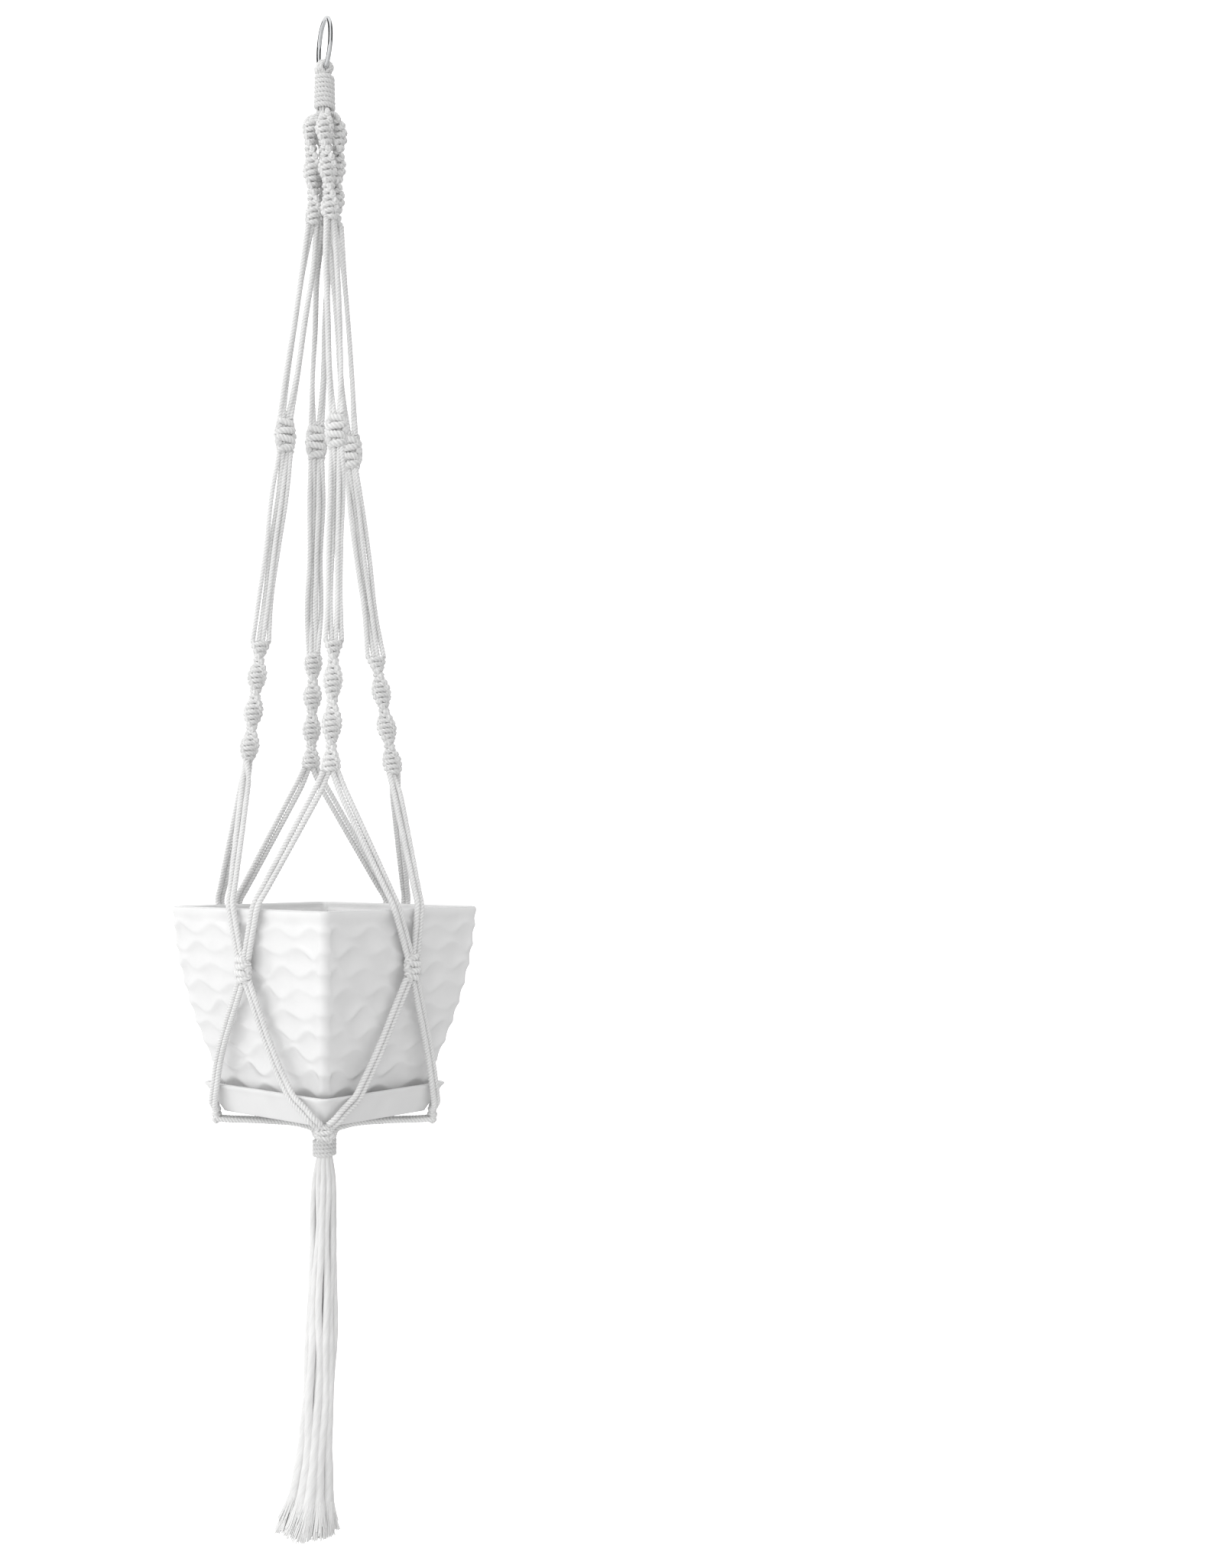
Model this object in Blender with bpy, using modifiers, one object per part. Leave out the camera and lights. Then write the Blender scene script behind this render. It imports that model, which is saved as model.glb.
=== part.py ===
"""Hanging macrame planter: a knotted cotton hanger on a steel ring, holding a square glazed pot on its saucer.

Metres, +Z up. The origin is the hook's seat, at the inside top of the ring. -Y is the front and +X the right.
Four arms hang from the ring. Each has four cords, and ends in two pairs that form a net round the pot.
"""

import math

import bmesh
import bpy
from mathutils import Vector

END_GAP = 0.0012  # between a cord's cut end and the knot it enters, so that tilted ends stay clear

# Ring: a torus whose inside top is the origin
RING_OUTER_RADIUS = 0.01825
WIRE_RADIUS = 0.0016
RING_YAW = math.radians(14)
WIRE_CLEARANCE = 0.00075  # lets the loops swing on the wire

# Crown: the folded cords over the ring, and the wrap that binds them
LOOPS_TOP = -0.0259
LOOPS_RADIUS = 0.0070
CORE_RADIUS = 0.0042
TOP_WRAP_TOP, TOP_WRAP_FOOT = -0.0353, -0.0610
TOP_WRAP_RADIUS = 0.0073
TOP_WRAP_TURNS = 8

# Arms
SENNIT_HEAD, SENNIT_FOOT = -0.0630, -0.1350
SENNIT_THICK, SENNIT_THIN = 0.0058, 0.0040
SENNIT_BULGES = 3
STRANDS_RADIUS = 0.0037
MID_KNOT_SIZE = (0.0150, 0.0090, 0.0220)
SPIRAL_THICK, SPIRAL_THIN = 0.0063, 0.0036
SPIRAL_BULGES = 4
ARMS = {
    "left": {
        "out": (-1, 0),
        "sennit_foot": (-0.0090, 0.0000),
        "mid_knot": (-0.0270, 0.0020, -0.2810),
        "spiral_head": (-0.0435, 0.0010, -0.4220),
        "spiral_foot": (-0.0522, 0.0000, -0.5037),
    },
    "back": {
        "out": (0, 1),
        "sennit_foot": (-0.0005, 0.0092),
        "mid_knot": (-0.0057, 0.0220, -0.2807),
        "spiral_head": (-0.0079, 0.0420, -0.4250),
        "spiral_foot": (-0.0098, 0.0500, -0.5059),
    },
    "front": {
        "out": (0, -1),
        "sennit_foot": (0.0040, -0.0095),
        "mid_knot": (0.0081, -0.0200, -0.2836),
        "spiral_head": (0.0060, -0.0420, -0.4268),
        "spiral_foot": (0.0040, -0.0500, -0.5135),
    },
    "right": {
        "out": (1, 0),
        "sennit_foot": (0.0106, 0.0015),
        "mid_knot": (0.0187, 0.0140, -0.2898),
        "spiral_head": (0.0350, 0.0020, -0.4323),
        "spiral_foot": (0.0473, 0.0000, -0.5126),
    },
}

# Pot and saucer: rounded squares with a corner towards each arm
POT_RIM_HALF = 0.0750
POT_RIM_Z = -0.6024
POT_HEIGHT = 0.1353
POT_TAPER = 0.0297  # how much narrower each side is at the base
POT_TAPER_POWER = 1.8
POT_WALL = 0.0040
POT_FLOOR = 0.0050
CORNER_RADIUS = 0.0060
SAUCER_TOP_HALF, SAUCER_FOOT_HALF = 0.0598, 0.0498
SAUCER_TOP_Z, SAUCER_FOOT_Z = -0.7220, -0.7420
SAUCER_WALL = 0.0040

# Net: pairs of cords from the arms to a knot on each side of the pot, then to a knot under each saucer corner.
# "side" is how far along the pot's side a knot or a cord is, positive towards the front or the back corner.
PAIR_RADIUS = 0.0025
PAIR_SPREAD = 0.0030
# How far along the pot's side a lower pair crosses the saucer's edge, then the saucer's underside.
EDGE_CROSSING = {"left": 0.0385, "right": 0.0385, "front": 0.0265, "back": 0.0265}
CORNER_CROSSING = 0.0472
SIDE_KNOT_SIZE = (0.0120, 0.0070, 0.0170)
SIDE_KNOT_OUT = 0.0775
CORNER_KNOT_SIZE = (0.0110, 0.0060, 0.0120)
CORNER_KNOT_OUT = 0.0762
CORNER_KNOT_Z = -0.7420
FACES = {
    "front_left": {
        "normal": (-1, -1),
        "along": (1, -1),
        "knot_side": 0.0028,
        "knot_z": -0.6420,
        "rim_side": {"left": -0.0080, "front": 0.0165},
    },
    "front_right": {
        "normal": (1, -1),
        "along": (-1, -1),
        "knot_side": -0.0036,
        "knot_z": -0.6405,
        "rim_side": {"right": -0.0090, "front": 0.0145},
    },
    "back_left": {
        "normal": (-1, 1),
        "along": (1, 1),
        "knot_side": -0.0170,
        "knot_z": -0.6420,
        "rim_side": {"left": -0.0260, "back": -0.0080},
    },
    "back_right": {
        "normal": (1, 1),
        "along": (-1, 1),
        "knot_side": 0.0050,
        "knot_z": -0.6410,
        "rim_side": {"right": -0.0040, "back": 0.0145},
    },
}

# Gather and tassel
BASE_CORDS_RADIUS = 0.0030
BOTTOM_WRAP_TOP, BOTTOM_WRAP_FOOT = -0.7602, -0.7745
BOTTOM_WRAP_RADIUS = 0.0084
BOTTOM_WRAP_BORE = 0.0054
BOTTOM_WRAP_TURNS = 5
GATHER_CORE_RADIUS = 0.0050
TASSEL_FOOT = -1.0370
TASSEL_LEAN = -0.0100  # how far left the brushed ends drift


def clear_scene():
    for obj in list(bpy.data.objects):
        bpy.data.objects.remove(obj, do_unlink=True)


def new_collection(name):
    collection = bpy.data.collections.new(name)
    bpy.context.scene.collection.children.link(collection)
    return collection


def principled(name, colour, roughness, metallic=0.0):
    material = bpy.data.materials.new(name)
    material.use_nodes = True
    shader = material.node_tree.nodes["Principled BSDF"]
    shader.inputs["Base Color"].default_value = (*colour, 1.0)
    shader.inputs["Roughness"].default_value = roughness
    shader.inputs["Metallic"].default_value = metallic
    return material


def add_object(name, data, material, parent=None, collection=None):
    obj = bpy.data.objects.new(name, data)
    (collection or planter).objects.link(obj)
    if material:
        data.materials.append(material.copy())
        data.materials[0].name = name
    hold(obj, parent)
    return obj


def hold(obj, parent):
    """Parents obj where it stands."""
    if parent:
        bpy.context.view_layer.update()
        obj.parent = parent
        obj.matrix_parent_inverse = parent.matrix_world.inverted()


def pivot(name, place, parent=None):
    """An empty on a joint's axis."""
    empty = bpy.data.objects.new(name, None)
    empty.location = place
    empty.empty_display_size = 0.02
    planter.objects.link(empty)
    hold(empty, parent)
    return empty


def smooth_route(way, count):
    """count evenly spaced points of a smooth curve through the way points."""
    points = [Vector(p) for p in way]
    spans = [(b - a).length for a, b in zip(points, points[1:])]
    slopes = [(b - a) / span for a, b, span in zip(points, points[1:], spans)]
    tangents = [slopes[0]]
    for i in range(1, len(slopes)):
        before, after = spans[i - 1], spans[i]
        tangents.append((slopes[i - 1] * after + slopes[i] * before) / (before + after))
    tangents.append(slopes[-1])
    fine = [points[0]]
    steps = 24
    for i, span in enumerate(spans):
        for k in range(1, steps + 1):
            t = k / steps
            a = (1 + 2 * t) * (1 - t) ** 2
            b = t * (1 - t) ** 2 * span
            c = t * t * (3 - 2 * t)
            d = t * t * (t - 1) * span
            fine.append(points[i] * a + tangents[i] * b + points[i + 1] * c + tangents[i + 1] * d)
    reach = [0.0]
    for a, b in zip(fine, fine[1:]):
        reach.append(reach[-1] + (b - a).length)
    route = []
    j = 0
    for k in range(count):
        want = reach[-1] * k / (count - 1)
        while j < len(fine) - 2 and reach[j + 1] < want:
            j += 1
        share = (want - reach[j]) / (reach[j + 1] - reach[j])
        route.append(fine[j].lerp(fine[j + 1], share))
    return route


def tube_data(name, route, radii, resolution=2):
    """A tube on a POLY spline, with a radius for each of its points."""
    curve = bpy.data.curves.new(name, "CURVE")
    curve.dimensions = "3D"
    curve.bevel_depth = max(radii)
    curve.bevel_resolution = resolution
    curve.use_fill_caps = True
    spline = curve.splines.new("POLY")
    spline.points.add(len(route) - 1)
    for point, place, radius in zip(spline.points, route, radii):
        point.co = (*place, 1.0)
        point.radius = radius / curve.bevel_depth
    spline.use_smooth = True
    return curve


def tube(name, route, radii, material, parent, resolution=2):
    return add_object(name, tube_data(name, route, radii, resolution), material, parent)


def bulge_radii(bulges, thick, thin):
    """The radii along a spiral of half knots, which swells once for each half turn of its spiral."""
    steps = 4 * bulges
    return [thin + (thick - thin) * abs(math.sin(math.pi * k / 4)) for k in range(steps + 1)]


def block_knot(name, centre, size, yaw, parent):
    """A square knot as a rounded block."""
    bm = bmesh.new()
    bmesh.ops.create_cube(bm, size=1.0)
    bmesh.ops.scale(bm, vec=size, verts=bm.verts)
    mesh = bpy.data.meshes.new(name)
    bm.to_mesh(mesh)
    bm.free()
    obj = add_object(name, mesh, cotton)
    obj.location = centre
    obj.rotation_euler.z = yaw
    bevel = obj.modifiers.new("round", "BEVEL")
    bevel.width = 0.38 * min(size)
    bevel.segments = 2
    bevel.limit_method = "NONE"
    mesh.shade_smooth()
    hold(obj, parent)
    return obj


def wrap_sleeve(name, top, foot, radius, bore, turns, parent):
    """A wrap knot: a ribbed sleeve turned round the Z axis, its outer side running down."""
    rib_depth = 0.0009
    steps = 3 * turns
    profile = []
    for k in range(steps + 1):
        swell = abs(math.sin(math.pi * turns * k / steps))
        profile.append((radius - rib_depth * (1 - swell), top + (foot - top) * k / steps))
    profile += [(bore, foot), (bore, top)]
    mesh = bpy.data.meshes.new(name)
    count = len(profile)
    mesh.from_pydata([(r, 0, z) for r, z in profile], [(k, (k + 1) % count) for k in range(count)], [])
    obj = add_object(name, mesh, cotton)
    screw = obj.modifiers.new("turn", "SCREW")
    screw.steps = screw.render_steps = 12
    screw.use_merge_vertices = True
    screw.merge_threshold = 0.00001
    screw.use_smooth_shade = True
    hold(obj, parent)
    return obj


def ring_torus(name, minor_radius, segments, sides, material, collection, parent=None):
    bpy.ops.mesh.primitive_torus_add(
        major_radius=RING_OUTER_RADIUS - WIRE_RADIUS,
        minor_radius=minor_radius,
        major_segments=segments,
        minor_segments=sides,
        location=(0, 0, WIRE_RADIUS * 2 - RING_OUTER_RADIUS),
        rotation=(0, math.pi / 2, RING_YAW),
    )
    obj = bpy.context.object
    for old in list(obj.users_collection):
        old.objects.unlink(obj)
    collection.objects.link(obj)
    obj.name = name
    obj.data.shade_smooth()
    if material:
        obj.data.materials.append(material)
    hold(obj, parent)
    return obj


def make_crown(parent):
    """The folded cords over the ring's wire, down through the wrap. The wire's way through them is cut out."""
    shape = [
        (LOOPS_TOP, 0.0022),
        (LOOPS_TOP - 0.0008, 0.0047),
        (LOOPS_TOP - 0.0026, 0.0064),
        (LOOPS_TOP - 0.0056, LOOPS_RADIUS),
        (LOOPS_TOP - 0.0076, 0.0063),
        (TOP_WRAP_TOP + 0.0006, CORE_RADIUS),
        (TOP_WRAP_TOP - 0.0010, CORE_RADIUS),
        (TOP_WRAP_FOOT - 0.0002, CORE_RADIUS),
    ]
    curve = tube_data("crown_curve", [(0, 0, z) for z, _ in shape], [r for _, r in shape], 4)
    source = bpy.data.objects.new("crown_curve", curve)
    planter.objects.link(source)
    graph = bpy.context.evaluated_depsgraph_get()
    mesh = bpy.data.meshes.new_from_object(source.evaluated_get(graph))
    mesh.name = "crown_loops"
    bm = bmesh.new()
    bm.from_mesh(mesh)
    bmesh.ops.remove_doubles(bm, verts=bm.verts, dist=0.00001)
    bmesh.ops.recalc_face_normals(bm, faces=bm.faces)
    bm.to_mesh(mesh)
    bm.free()
    bpy.data.objects.remove(source)
    loops = add_object("crown_loops", mesh, cotton)
    cutter = ring_torus("wire_way", WIRE_RADIUS + WIRE_CLEARANCE, 48, 12, None, cutters)
    cutter.hide_render = True
    cutter.display_type = "WIRE"
    cut = loops.modifiers.new("wire way", "BOOLEAN")
    cut.object = cutter
    cut.solver = "EXACT"
    hold(loops, parent)
    hold(cutter, parent)
    bore = CORE_RADIUS + 0.0005
    wrap_sleeve("top_wrap", TOP_WRAP_TOP, TOP_WRAP_FOOT, TOP_WRAP_RADIUS, bore, TOP_WRAP_TURNS, parent)


def make_arm(arm, place, parent):
    """One arm, from the top wrap to the foot of its lower spiral."""
    out = Vector((*place["out"], 0))
    knot = Vector(place["mid_knot"])
    head = Vector(place["spiral_head"])
    foot = Vector(place["spiral_foot"])
    sennit_foot = Vector((*place["sennit_foot"], SENNIT_FOOT))
    sennit_way = [
        out * 0.0042 + Vector((0, 0, SENNIT_HEAD)),
        out * 0.0075 + Vector((0, 0, SENNIT_HEAD - 0.006)),
        out * 0.0090 + Vector((0, 0, SENNIT_HEAD - 0.014)),
        out * 0.0095 + Vector((0, 0, (SENNIT_HEAD + SENNIT_FOOT) / 2)),
        sennit_foot,
    ]
    head_radii = [0.0025, 0.0042]  # narrow where the four arms crowd under the wrap
    radii = bulge_radii(SENNIT_BULGES, SENNIT_THICK, SENNIT_THIN)
    radii[: len(head_radii)] = head_radii
    tube("upper_sennit_" + arm, smooth_route(sennit_way, len(radii)), radii, cotton, parent)

    knot_half = Vector((0, 0, MID_KNOT_SIZE[2] / 2 + END_GAP))
    strands = smooth_route([sennit_foot - Vector((0, 0, END_GAP)), knot + knot_half], 4)
    tube("upper_strands_" + arm, strands, [STRANDS_RADIUS] * 4, cotton, parent)
    block_knot("mid_knot_" + arm, knot, MID_KNOT_SIZE, 0, parent)
    strands = smooth_route([knot - knot_half, head + Vector((0, 0, END_GAP))], 4)
    tube("lower_strands_" + arm, strands, [STRANDS_RADIUS] * 4, cotton, parent)
    radii = bulge_radii(SPIRAL_BULGES, SPIRAL_THICK, SPIRAL_THIN)
    tube("lower_spiral_" + arm, smooth_route([head, foot], len(radii)), radii, cotton, parent)


def on_face(face, out, side, z):
    """A point out from the pot's axis squarely to a face, and side along that face."""
    normal = Vector((*face["normal"], 0)).normalized()
    along = Vector((*face["along"], 0)).normalized()
    return normal * out + along * side + Vector((0, 0, z))


def make_net_side(name, face, parent):
    """The knot on one side of the pot, and the four pairs of cords that meet in it."""
    normal = Vector((*face["normal"], 0)).normalized()
    side, z = face["knot_side"], face["knot_z"]
    yaw = math.atan2(normal.y, normal.x) + math.pi / 2
    block_knot("side_knot_" + name, on_face(face, SIDE_KNOT_OUT, side, z), SIDE_KNOT_SIZE, yaw, parent)
    knot_half = SIDE_KNOT_SIZE[2] / 2
    for arm, rim_side in face["rim_side"].items():
        towards = -1 if arm in ("left", "right") else 1
        over_edge = EDGE_CROSSING[arm]
        under_edge = 0.65 * over_edge + 0.35 * CORNER_CROSSING
        near_corner = 0.20 * over_edge + 0.80 * CORNER_CROSSING
        out = Vector((*ARMS[arm]["out"], 0))
        apart = (normal - out * normal.dot(out)).normalized()
        foot = Vector(ARMS[arm]["spiral_foot"])
        start = foot + apart * PAIR_SPREAD - Vector((0, 0, 0.0024))
        rim = on_face(face, POT_RIM_HALF + 0.0034, rim_side, POT_RIM_Z + 0.0035)
        knot_top = on_face(face, SIDE_KNOT_OUT - 0.0002, side + towards * PAIR_SPREAD, z + knot_half + END_GAP)
        way = [
            start,
            start.lerp(rim, 0.90),
            rim,
            rim.lerp(knot_top, 0.35) + normal * 0.0004,
            knot_top,
        ]
        tube("upper_net_%s_arm_%s" % (arm, name), smooth_route(way, 12), [PAIR_RADIUS] * 12, cotton, parent)

        knot_foot = on_face(face, SIDE_KNOT_OUT - 0.0010, side + towards * PAIR_SPREAD, z - knot_half - END_GAP)
        way = [
            knot_foot,
            on_face(face, SAUCER_TOP_HALF + 0.0040, towards * over_edge, SAUCER_TOP_Z + 0.0090),
            on_face(face, SAUCER_TOP_HALF + 0.0031, towards * under_edge, SAUCER_TOP_Z - 0.0015),
            on_face(face, SAUCER_TOP_HALF + 0.0008, towards * near_corner, SAUCER_TOP_Z - 0.0095),
            on_face(face, SAUCER_TOP_HALF - 0.0003, towards * CORNER_CROSSING, SAUCER_TOP_Z - 0.0136),
        ]
        tube("lower_net_%s_to_%s" % (name, arm), smooth_route(way, 12), [PAIR_RADIUS] * 12, cotton, parent)


def make_corner(arm, place, parent):
    """The knot under one corner of the saucer, and its four cords in to the gather."""
    out = Vector((*place["out"], 0))
    yaw = math.atan2(out.y, out.x) + math.pi / 2
    centre = out * CORNER_KNOT_OUT + Vector((0, 0, CORNER_KNOT_Z))
    block_knot("corner_knot_" + arm, centre, CORNER_KNOT_SIZE, yaw, parent)
    way = [
        out * 0.0715 + Vector((0, 0, -0.7462)),
        out * 0.0400 + Vector((0, 0, -0.7488)),
        out * 0.0150 + Vector((0, 0, -0.7518)),
        out * 0.0074 + Vector((0, 0, -0.7545)),
        out * 0.0056 + Vector((0, 0, -0.7582)),
    ]
    tube("base_cords_" + arm, smooth_route(way, 15), [BASE_CORDS_RADIUS] * 15, cotton, parent)


def make_tail(arm, place, parent):
    """The ends of one arm's four cords, which hang under the bottom wrap as a quarter of the tassel."""
    out = Vector((*place["out"], 0))
    shape = [
        # height, out from the middle, radius
        (-0.7778, 0.0034, 0.0015),
        (-0.7802, 0.0045, 0.0030),
        (-0.7950, 0.0060, 0.0039),
        (-0.8500, 0.0066, 0.0042),
        (-0.9180, 0.0062, 0.0040),
        (-0.9700, 0.0075, 0.0048),
        (-1.0050, 0.0100, 0.0062),
        (TASSEL_FOOT, 0.0145, 0.0085),
    ]
    top = shape[0][0]
    route = []
    radii = []
    for (z0, out0, r0), (z1, out1, r1) in zip(shape, shape[1:] + shape[-1:]):
        for t in (0, 0.5):
            z = z0 + (z1 - z0) * t
            lean = TASSEL_LEAN * ((top - z) / (top - TASSEL_FOOT)) ** 2
            route.append(out * (out0 + (out1 - out0) * t) + Vector((lean, 0, z)))
            radii.append(r0 + (r1 - r0) * t)
    route.pop()
    radii.pop()
    tube("tassel_tail_" + arm, route, radii, cotton, parent)


def rounded_square(half, corner, z):
    """The outline of a square with rounded corners, anticlockwise from above."""
    outline = []
    arc_steps = 3
    for quarter in range(4):
        turn = quarter * math.pi / 2
        centre = Vector(((half - corner), (half - corner), 0))
        for k in range(arc_steps + 1):
            angle = k * math.pi / 2 / arc_steps
            p = centre + Vector((math.cos(angle), math.sin(angle), 0)) * corner
            x = p.x * math.cos(turn) - p.y * math.sin(turn)
            y = p.x * math.sin(turn) + p.y * math.cos(turn)
            outline.append((x, y, z))
    return outline


def loft(name, sections, material, parent):
    """A closed shell through (half side, corner radius, height) sections, flat at both ends, a corner to each arm."""
    bm = bmesh.new()
    loops = [[bm.verts.new(p) for p in rounded_square(*section)] for section in sections]
    for lower, upper in zip(loops, loops[1:]):
        for k in range(len(lower)):
            after = (k + 1) % len(lower)
            bm.faces.new((lower[k], lower[after], upper[after], upper[k]))
    bm.faces.new(loops[0])
    bm.faces.new(loops[-1])
    bmesh.ops.recalc_face_normals(bm, faces=bm.faces)
    mesh = bpy.data.meshes.new(name)
    bm.to_mesh(mesh)
    bm.free()
    mesh.shade_smooth()
    mesh.set_sharp_from_angle(angle=math.radians(50))
    obj = add_object(name, mesh, material)
    obj.rotation_euler.z = math.pi / 4
    hold(obj, parent)
    return obj


def pot_half(depth):
    """Half the pot's width at a depth below its rim."""
    return POT_RIM_HALF - POT_TAPER * (depth / POT_HEIGHT) ** POT_TAPER_POWER


def make_pot(parent):
    lip = 0.0012
    floor_depth = POT_HEIGHT - POT_FLOOR
    inner_corner = CORNER_RADIUS - 0.0025
    rows = 7
    inside = []
    for k in range(rows):
        depth = floor_depth + (lip - floor_depth) * k / (rows - 1)
        inside.append((pot_half(depth) - POT_WALL, inner_corner, POT_RIM_Z - depth))
    rim = [
        (POT_RIM_HALF - POT_WALL + lip, inner_corner + lip, POT_RIM_Z),
        (POT_RIM_HALF - lip, CORNER_RADIUS - lip, POT_RIM_Z),
    ]
    outside = []
    for k in range(rows + 2):
        depth = lip + (POT_HEIGHT - lip) * k / (rows + 1)
        outside.append((pot_half(depth), CORNER_RADIUS, POT_RIM_Z - depth))
    loft("square_pot", inside + rim + outside, glaze, parent)


def make_saucer(parent):
    lip = 0.0010
    height = SAUCER_TOP_Z - SAUCER_FOOT_Z

    def half(z):
        return SAUCER_FOOT_HALF + (SAUCER_TOP_HALF - SAUCER_FOOT_HALF) * (z - SAUCER_FOOT_Z) / height

    floor_z = SAUCER_FOOT_Z + SAUCER_WALL
    inner_corner = CORNER_RADIUS - 0.0025
    sections = [
        (half(floor_z) - SAUCER_WALL, inner_corner, floor_z),
        (half(SAUCER_TOP_Z - lip) - SAUCER_WALL, inner_corner, SAUCER_TOP_Z - lip),
        (SAUCER_TOP_HALF - SAUCER_WALL + lip, inner_corner + lip, SAUCER_TOP_Z),
        (SAUCER_TOP_HALF - lip, CORNER_RADIUS - lip, SAUCER_TOP_Z),
        (SAUCER_TOP_HALF, CORNER_RADIUS, SAUCER_TOP_Z - lip),
        (half(SAUCER_FOOT_Z + lip), CORNER_RADIUS, SAUCER_FOOT_Z + lip),
        (SAUCER_FOOT_HALF - lip, CORNER_RADIUS - lip, SAUCER_FOOT_Z),
    ]
    loft("square_saucer", sections, saucer_glaze, parent)


clear_scene()
planter = new_collection("hanging_macrame_planter")
cutters = new_collection("cutters")
cotton = principled("cotton_cord", (0.86, 0.84, 0.79), 0.9)
steel = principled("polished_ring", (0.80, 0.80, 0.81), 0.08, 1.0)
glaze = principled("pot_glaze", (0.90, 0.90, 0.89), 0.12)
saucer_glaze = principled("saucer_glaze", (0.90, 0.90, 0.89), 0.12)

swing_axis = pivot("planter_swing_axis", (0, 0, 3 * WIRE_RADIUS - 2 * RING_OUTER_RADIUS))
twist_axis = pivot("planter_twist_axis", (0, 0, TOP_WRAP_FOOT), swing_axis)
pot_seat = pivot("pot_seat", (0, 0, POT_RIM_Z - POT_HEIGHT), twist_axis)
tassel_axis = pivot("tassel_swing_axis", (0, 0, BOTTOM_WRAP_FOOT), twist_axis)

ring_torus("hanging_ring", WIRE_RADIUS, 32, 10, steel, planter)
make_crown(swing_axis)
for arm_name, arm_place in ARMS.items():
    make_arm(arm_name, arm_place, twist_axis)
    make_corner(arm_name, arm_place, twist_axis)
    make_tail(arm_name, arm_place, tassel_axis)
for face_name, face_place in FACES.items():
    make_net_side(face_name, face_place, twist_axis)
gather = [(0, 0, BOTTOM_WRAP_TOP - 0.0004), (0, 0, BOTTOM_WRAP_FOOT + 0.0002)]
tube("gather_core", gather, [GATHER_CORE_RADIUS] * 2, cotton, twist_axis, 4)
wrap_sleeve(
    "bottom_wrap",
    BOTTOM_WRAP_TOP,
    BOTTOM_WRAP_FOOT,
    BOTTOM_WRAP_RADIUS,
    BOTTOM_WRAP_BORE,
    BOTTOM_WRAP_TURNS,
    twist_axis,
)
make_pot(pot_seat)
make_saucer(twist_axis)
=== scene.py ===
from math import cos, pi, radians, sin

import bpy
import numpy as np
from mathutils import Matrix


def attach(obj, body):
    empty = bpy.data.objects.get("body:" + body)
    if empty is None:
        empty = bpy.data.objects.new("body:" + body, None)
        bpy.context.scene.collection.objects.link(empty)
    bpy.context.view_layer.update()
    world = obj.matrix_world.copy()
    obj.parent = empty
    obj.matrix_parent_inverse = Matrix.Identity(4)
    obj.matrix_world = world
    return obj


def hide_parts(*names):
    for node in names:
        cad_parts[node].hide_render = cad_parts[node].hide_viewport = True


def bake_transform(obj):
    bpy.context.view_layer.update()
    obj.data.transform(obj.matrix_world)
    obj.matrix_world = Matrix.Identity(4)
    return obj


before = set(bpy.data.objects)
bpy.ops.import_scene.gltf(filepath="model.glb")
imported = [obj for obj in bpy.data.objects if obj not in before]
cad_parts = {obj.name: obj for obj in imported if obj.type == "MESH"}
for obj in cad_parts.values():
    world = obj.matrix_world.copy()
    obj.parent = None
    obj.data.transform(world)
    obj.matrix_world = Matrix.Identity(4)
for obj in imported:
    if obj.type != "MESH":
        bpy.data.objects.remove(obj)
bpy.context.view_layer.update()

# The camera: level, a little above the pot's rim and a little over a metre in front of the planter.
# The planter hangs left of the middle, so the lens is shifted sideways and not turned.
CAMERA_PLACE = (0.0, -1.103, -0.5653)
lens = bpy.data.cameras.new("camera")
lens.lens = 37.1
lens.sensor_width = 36.0
lens.shift_x = 0.183
lens.shift_y = 0.043
lens.clip_start = 0.01
camera = bpy.data.objects.new("camera", lens)
camera.location = CAMERA_PLACE
camera.rotation_euler = (pi / 2, 0, 0)
bpy.context.scene.collection.objects.link(camera)
bpy.context.scene.camera = camera
bpy.context.scene.view_settings.view_transform = "Standard"


# The room: a white sweep of paper, its floor well under the tassel, curved up into a wall far behind.
# The light is soft and comes from the left and above. Two dark cards, level with the ring and higher,
# show only in the gloss of its wire.
def node(tree, kind, inputs=None, **settings):
    """A node with its settings and its inputs, each of which is a value or another node's output."""
    made = tree.nodes.new(kind)
    for key, value in settings.items():
        setattr(made, key, value)
    for key, value in (inputs or {}).items():
        if isinstance(value, bpy.types.NodeSocket):
            tree.links.new(value, made.inputs[key])
        else:
            made.inputs[key].default_value = value
    return made


def add_piece(name, mesh):
    piece = bpy.data.objects.new(name, mesh)
    bpy.context.scene.collection.objects.link(piece)
    return piece


def shaded(name, **shader):
    """A new material and its shader, with values that are the same all over set on the shader itself."""
    material = bpy.data.materials.new(name)
    material.use_nodes = True
    surface = material.node_tree.nodes["Principled BSDF"]
    for key, value in shader.items():
        surface.inputs[key.replace("_", " ")].default_value = value
    return material, material.node_tree, surface


FLOOR_Z = -1.30
WALL_Y = 2.2
SWEEP_RADIUS = 0.9
sweep_profile = [(-3.0, FLOOR_Z)]
for k in range(17):
    bend = k / 16 * pi / 2
    sweep_profile.append(
        (WALL_Y - SWEEP_RADIUS + SWEEP_RADIUS * sin(bend), FLOOR_Z + SWEEP_RADIUS * (1 - cos(bend)))
    )
sweep_profile.append((WALL_Y, 3.0))
sweep_points = [(x, y, z) for x in (-5.0, 5.0) for y, z in sweep_profile]
rows = len(sweep_profile)
sweep_faces = [(k, rows + k, rows + k + 1, k + 1) for k in range(rows - 1)]
sweep_mesh = bpy.data.meshes.new("paper_sweep")
sweep_mesh.from_pydata(sweep_points, [], sweep_faces)
sweep_mesh.shade_smooth()
paper, paper_tree, paper_surface = shaded("white_paper", Roughness=0.9)
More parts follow.
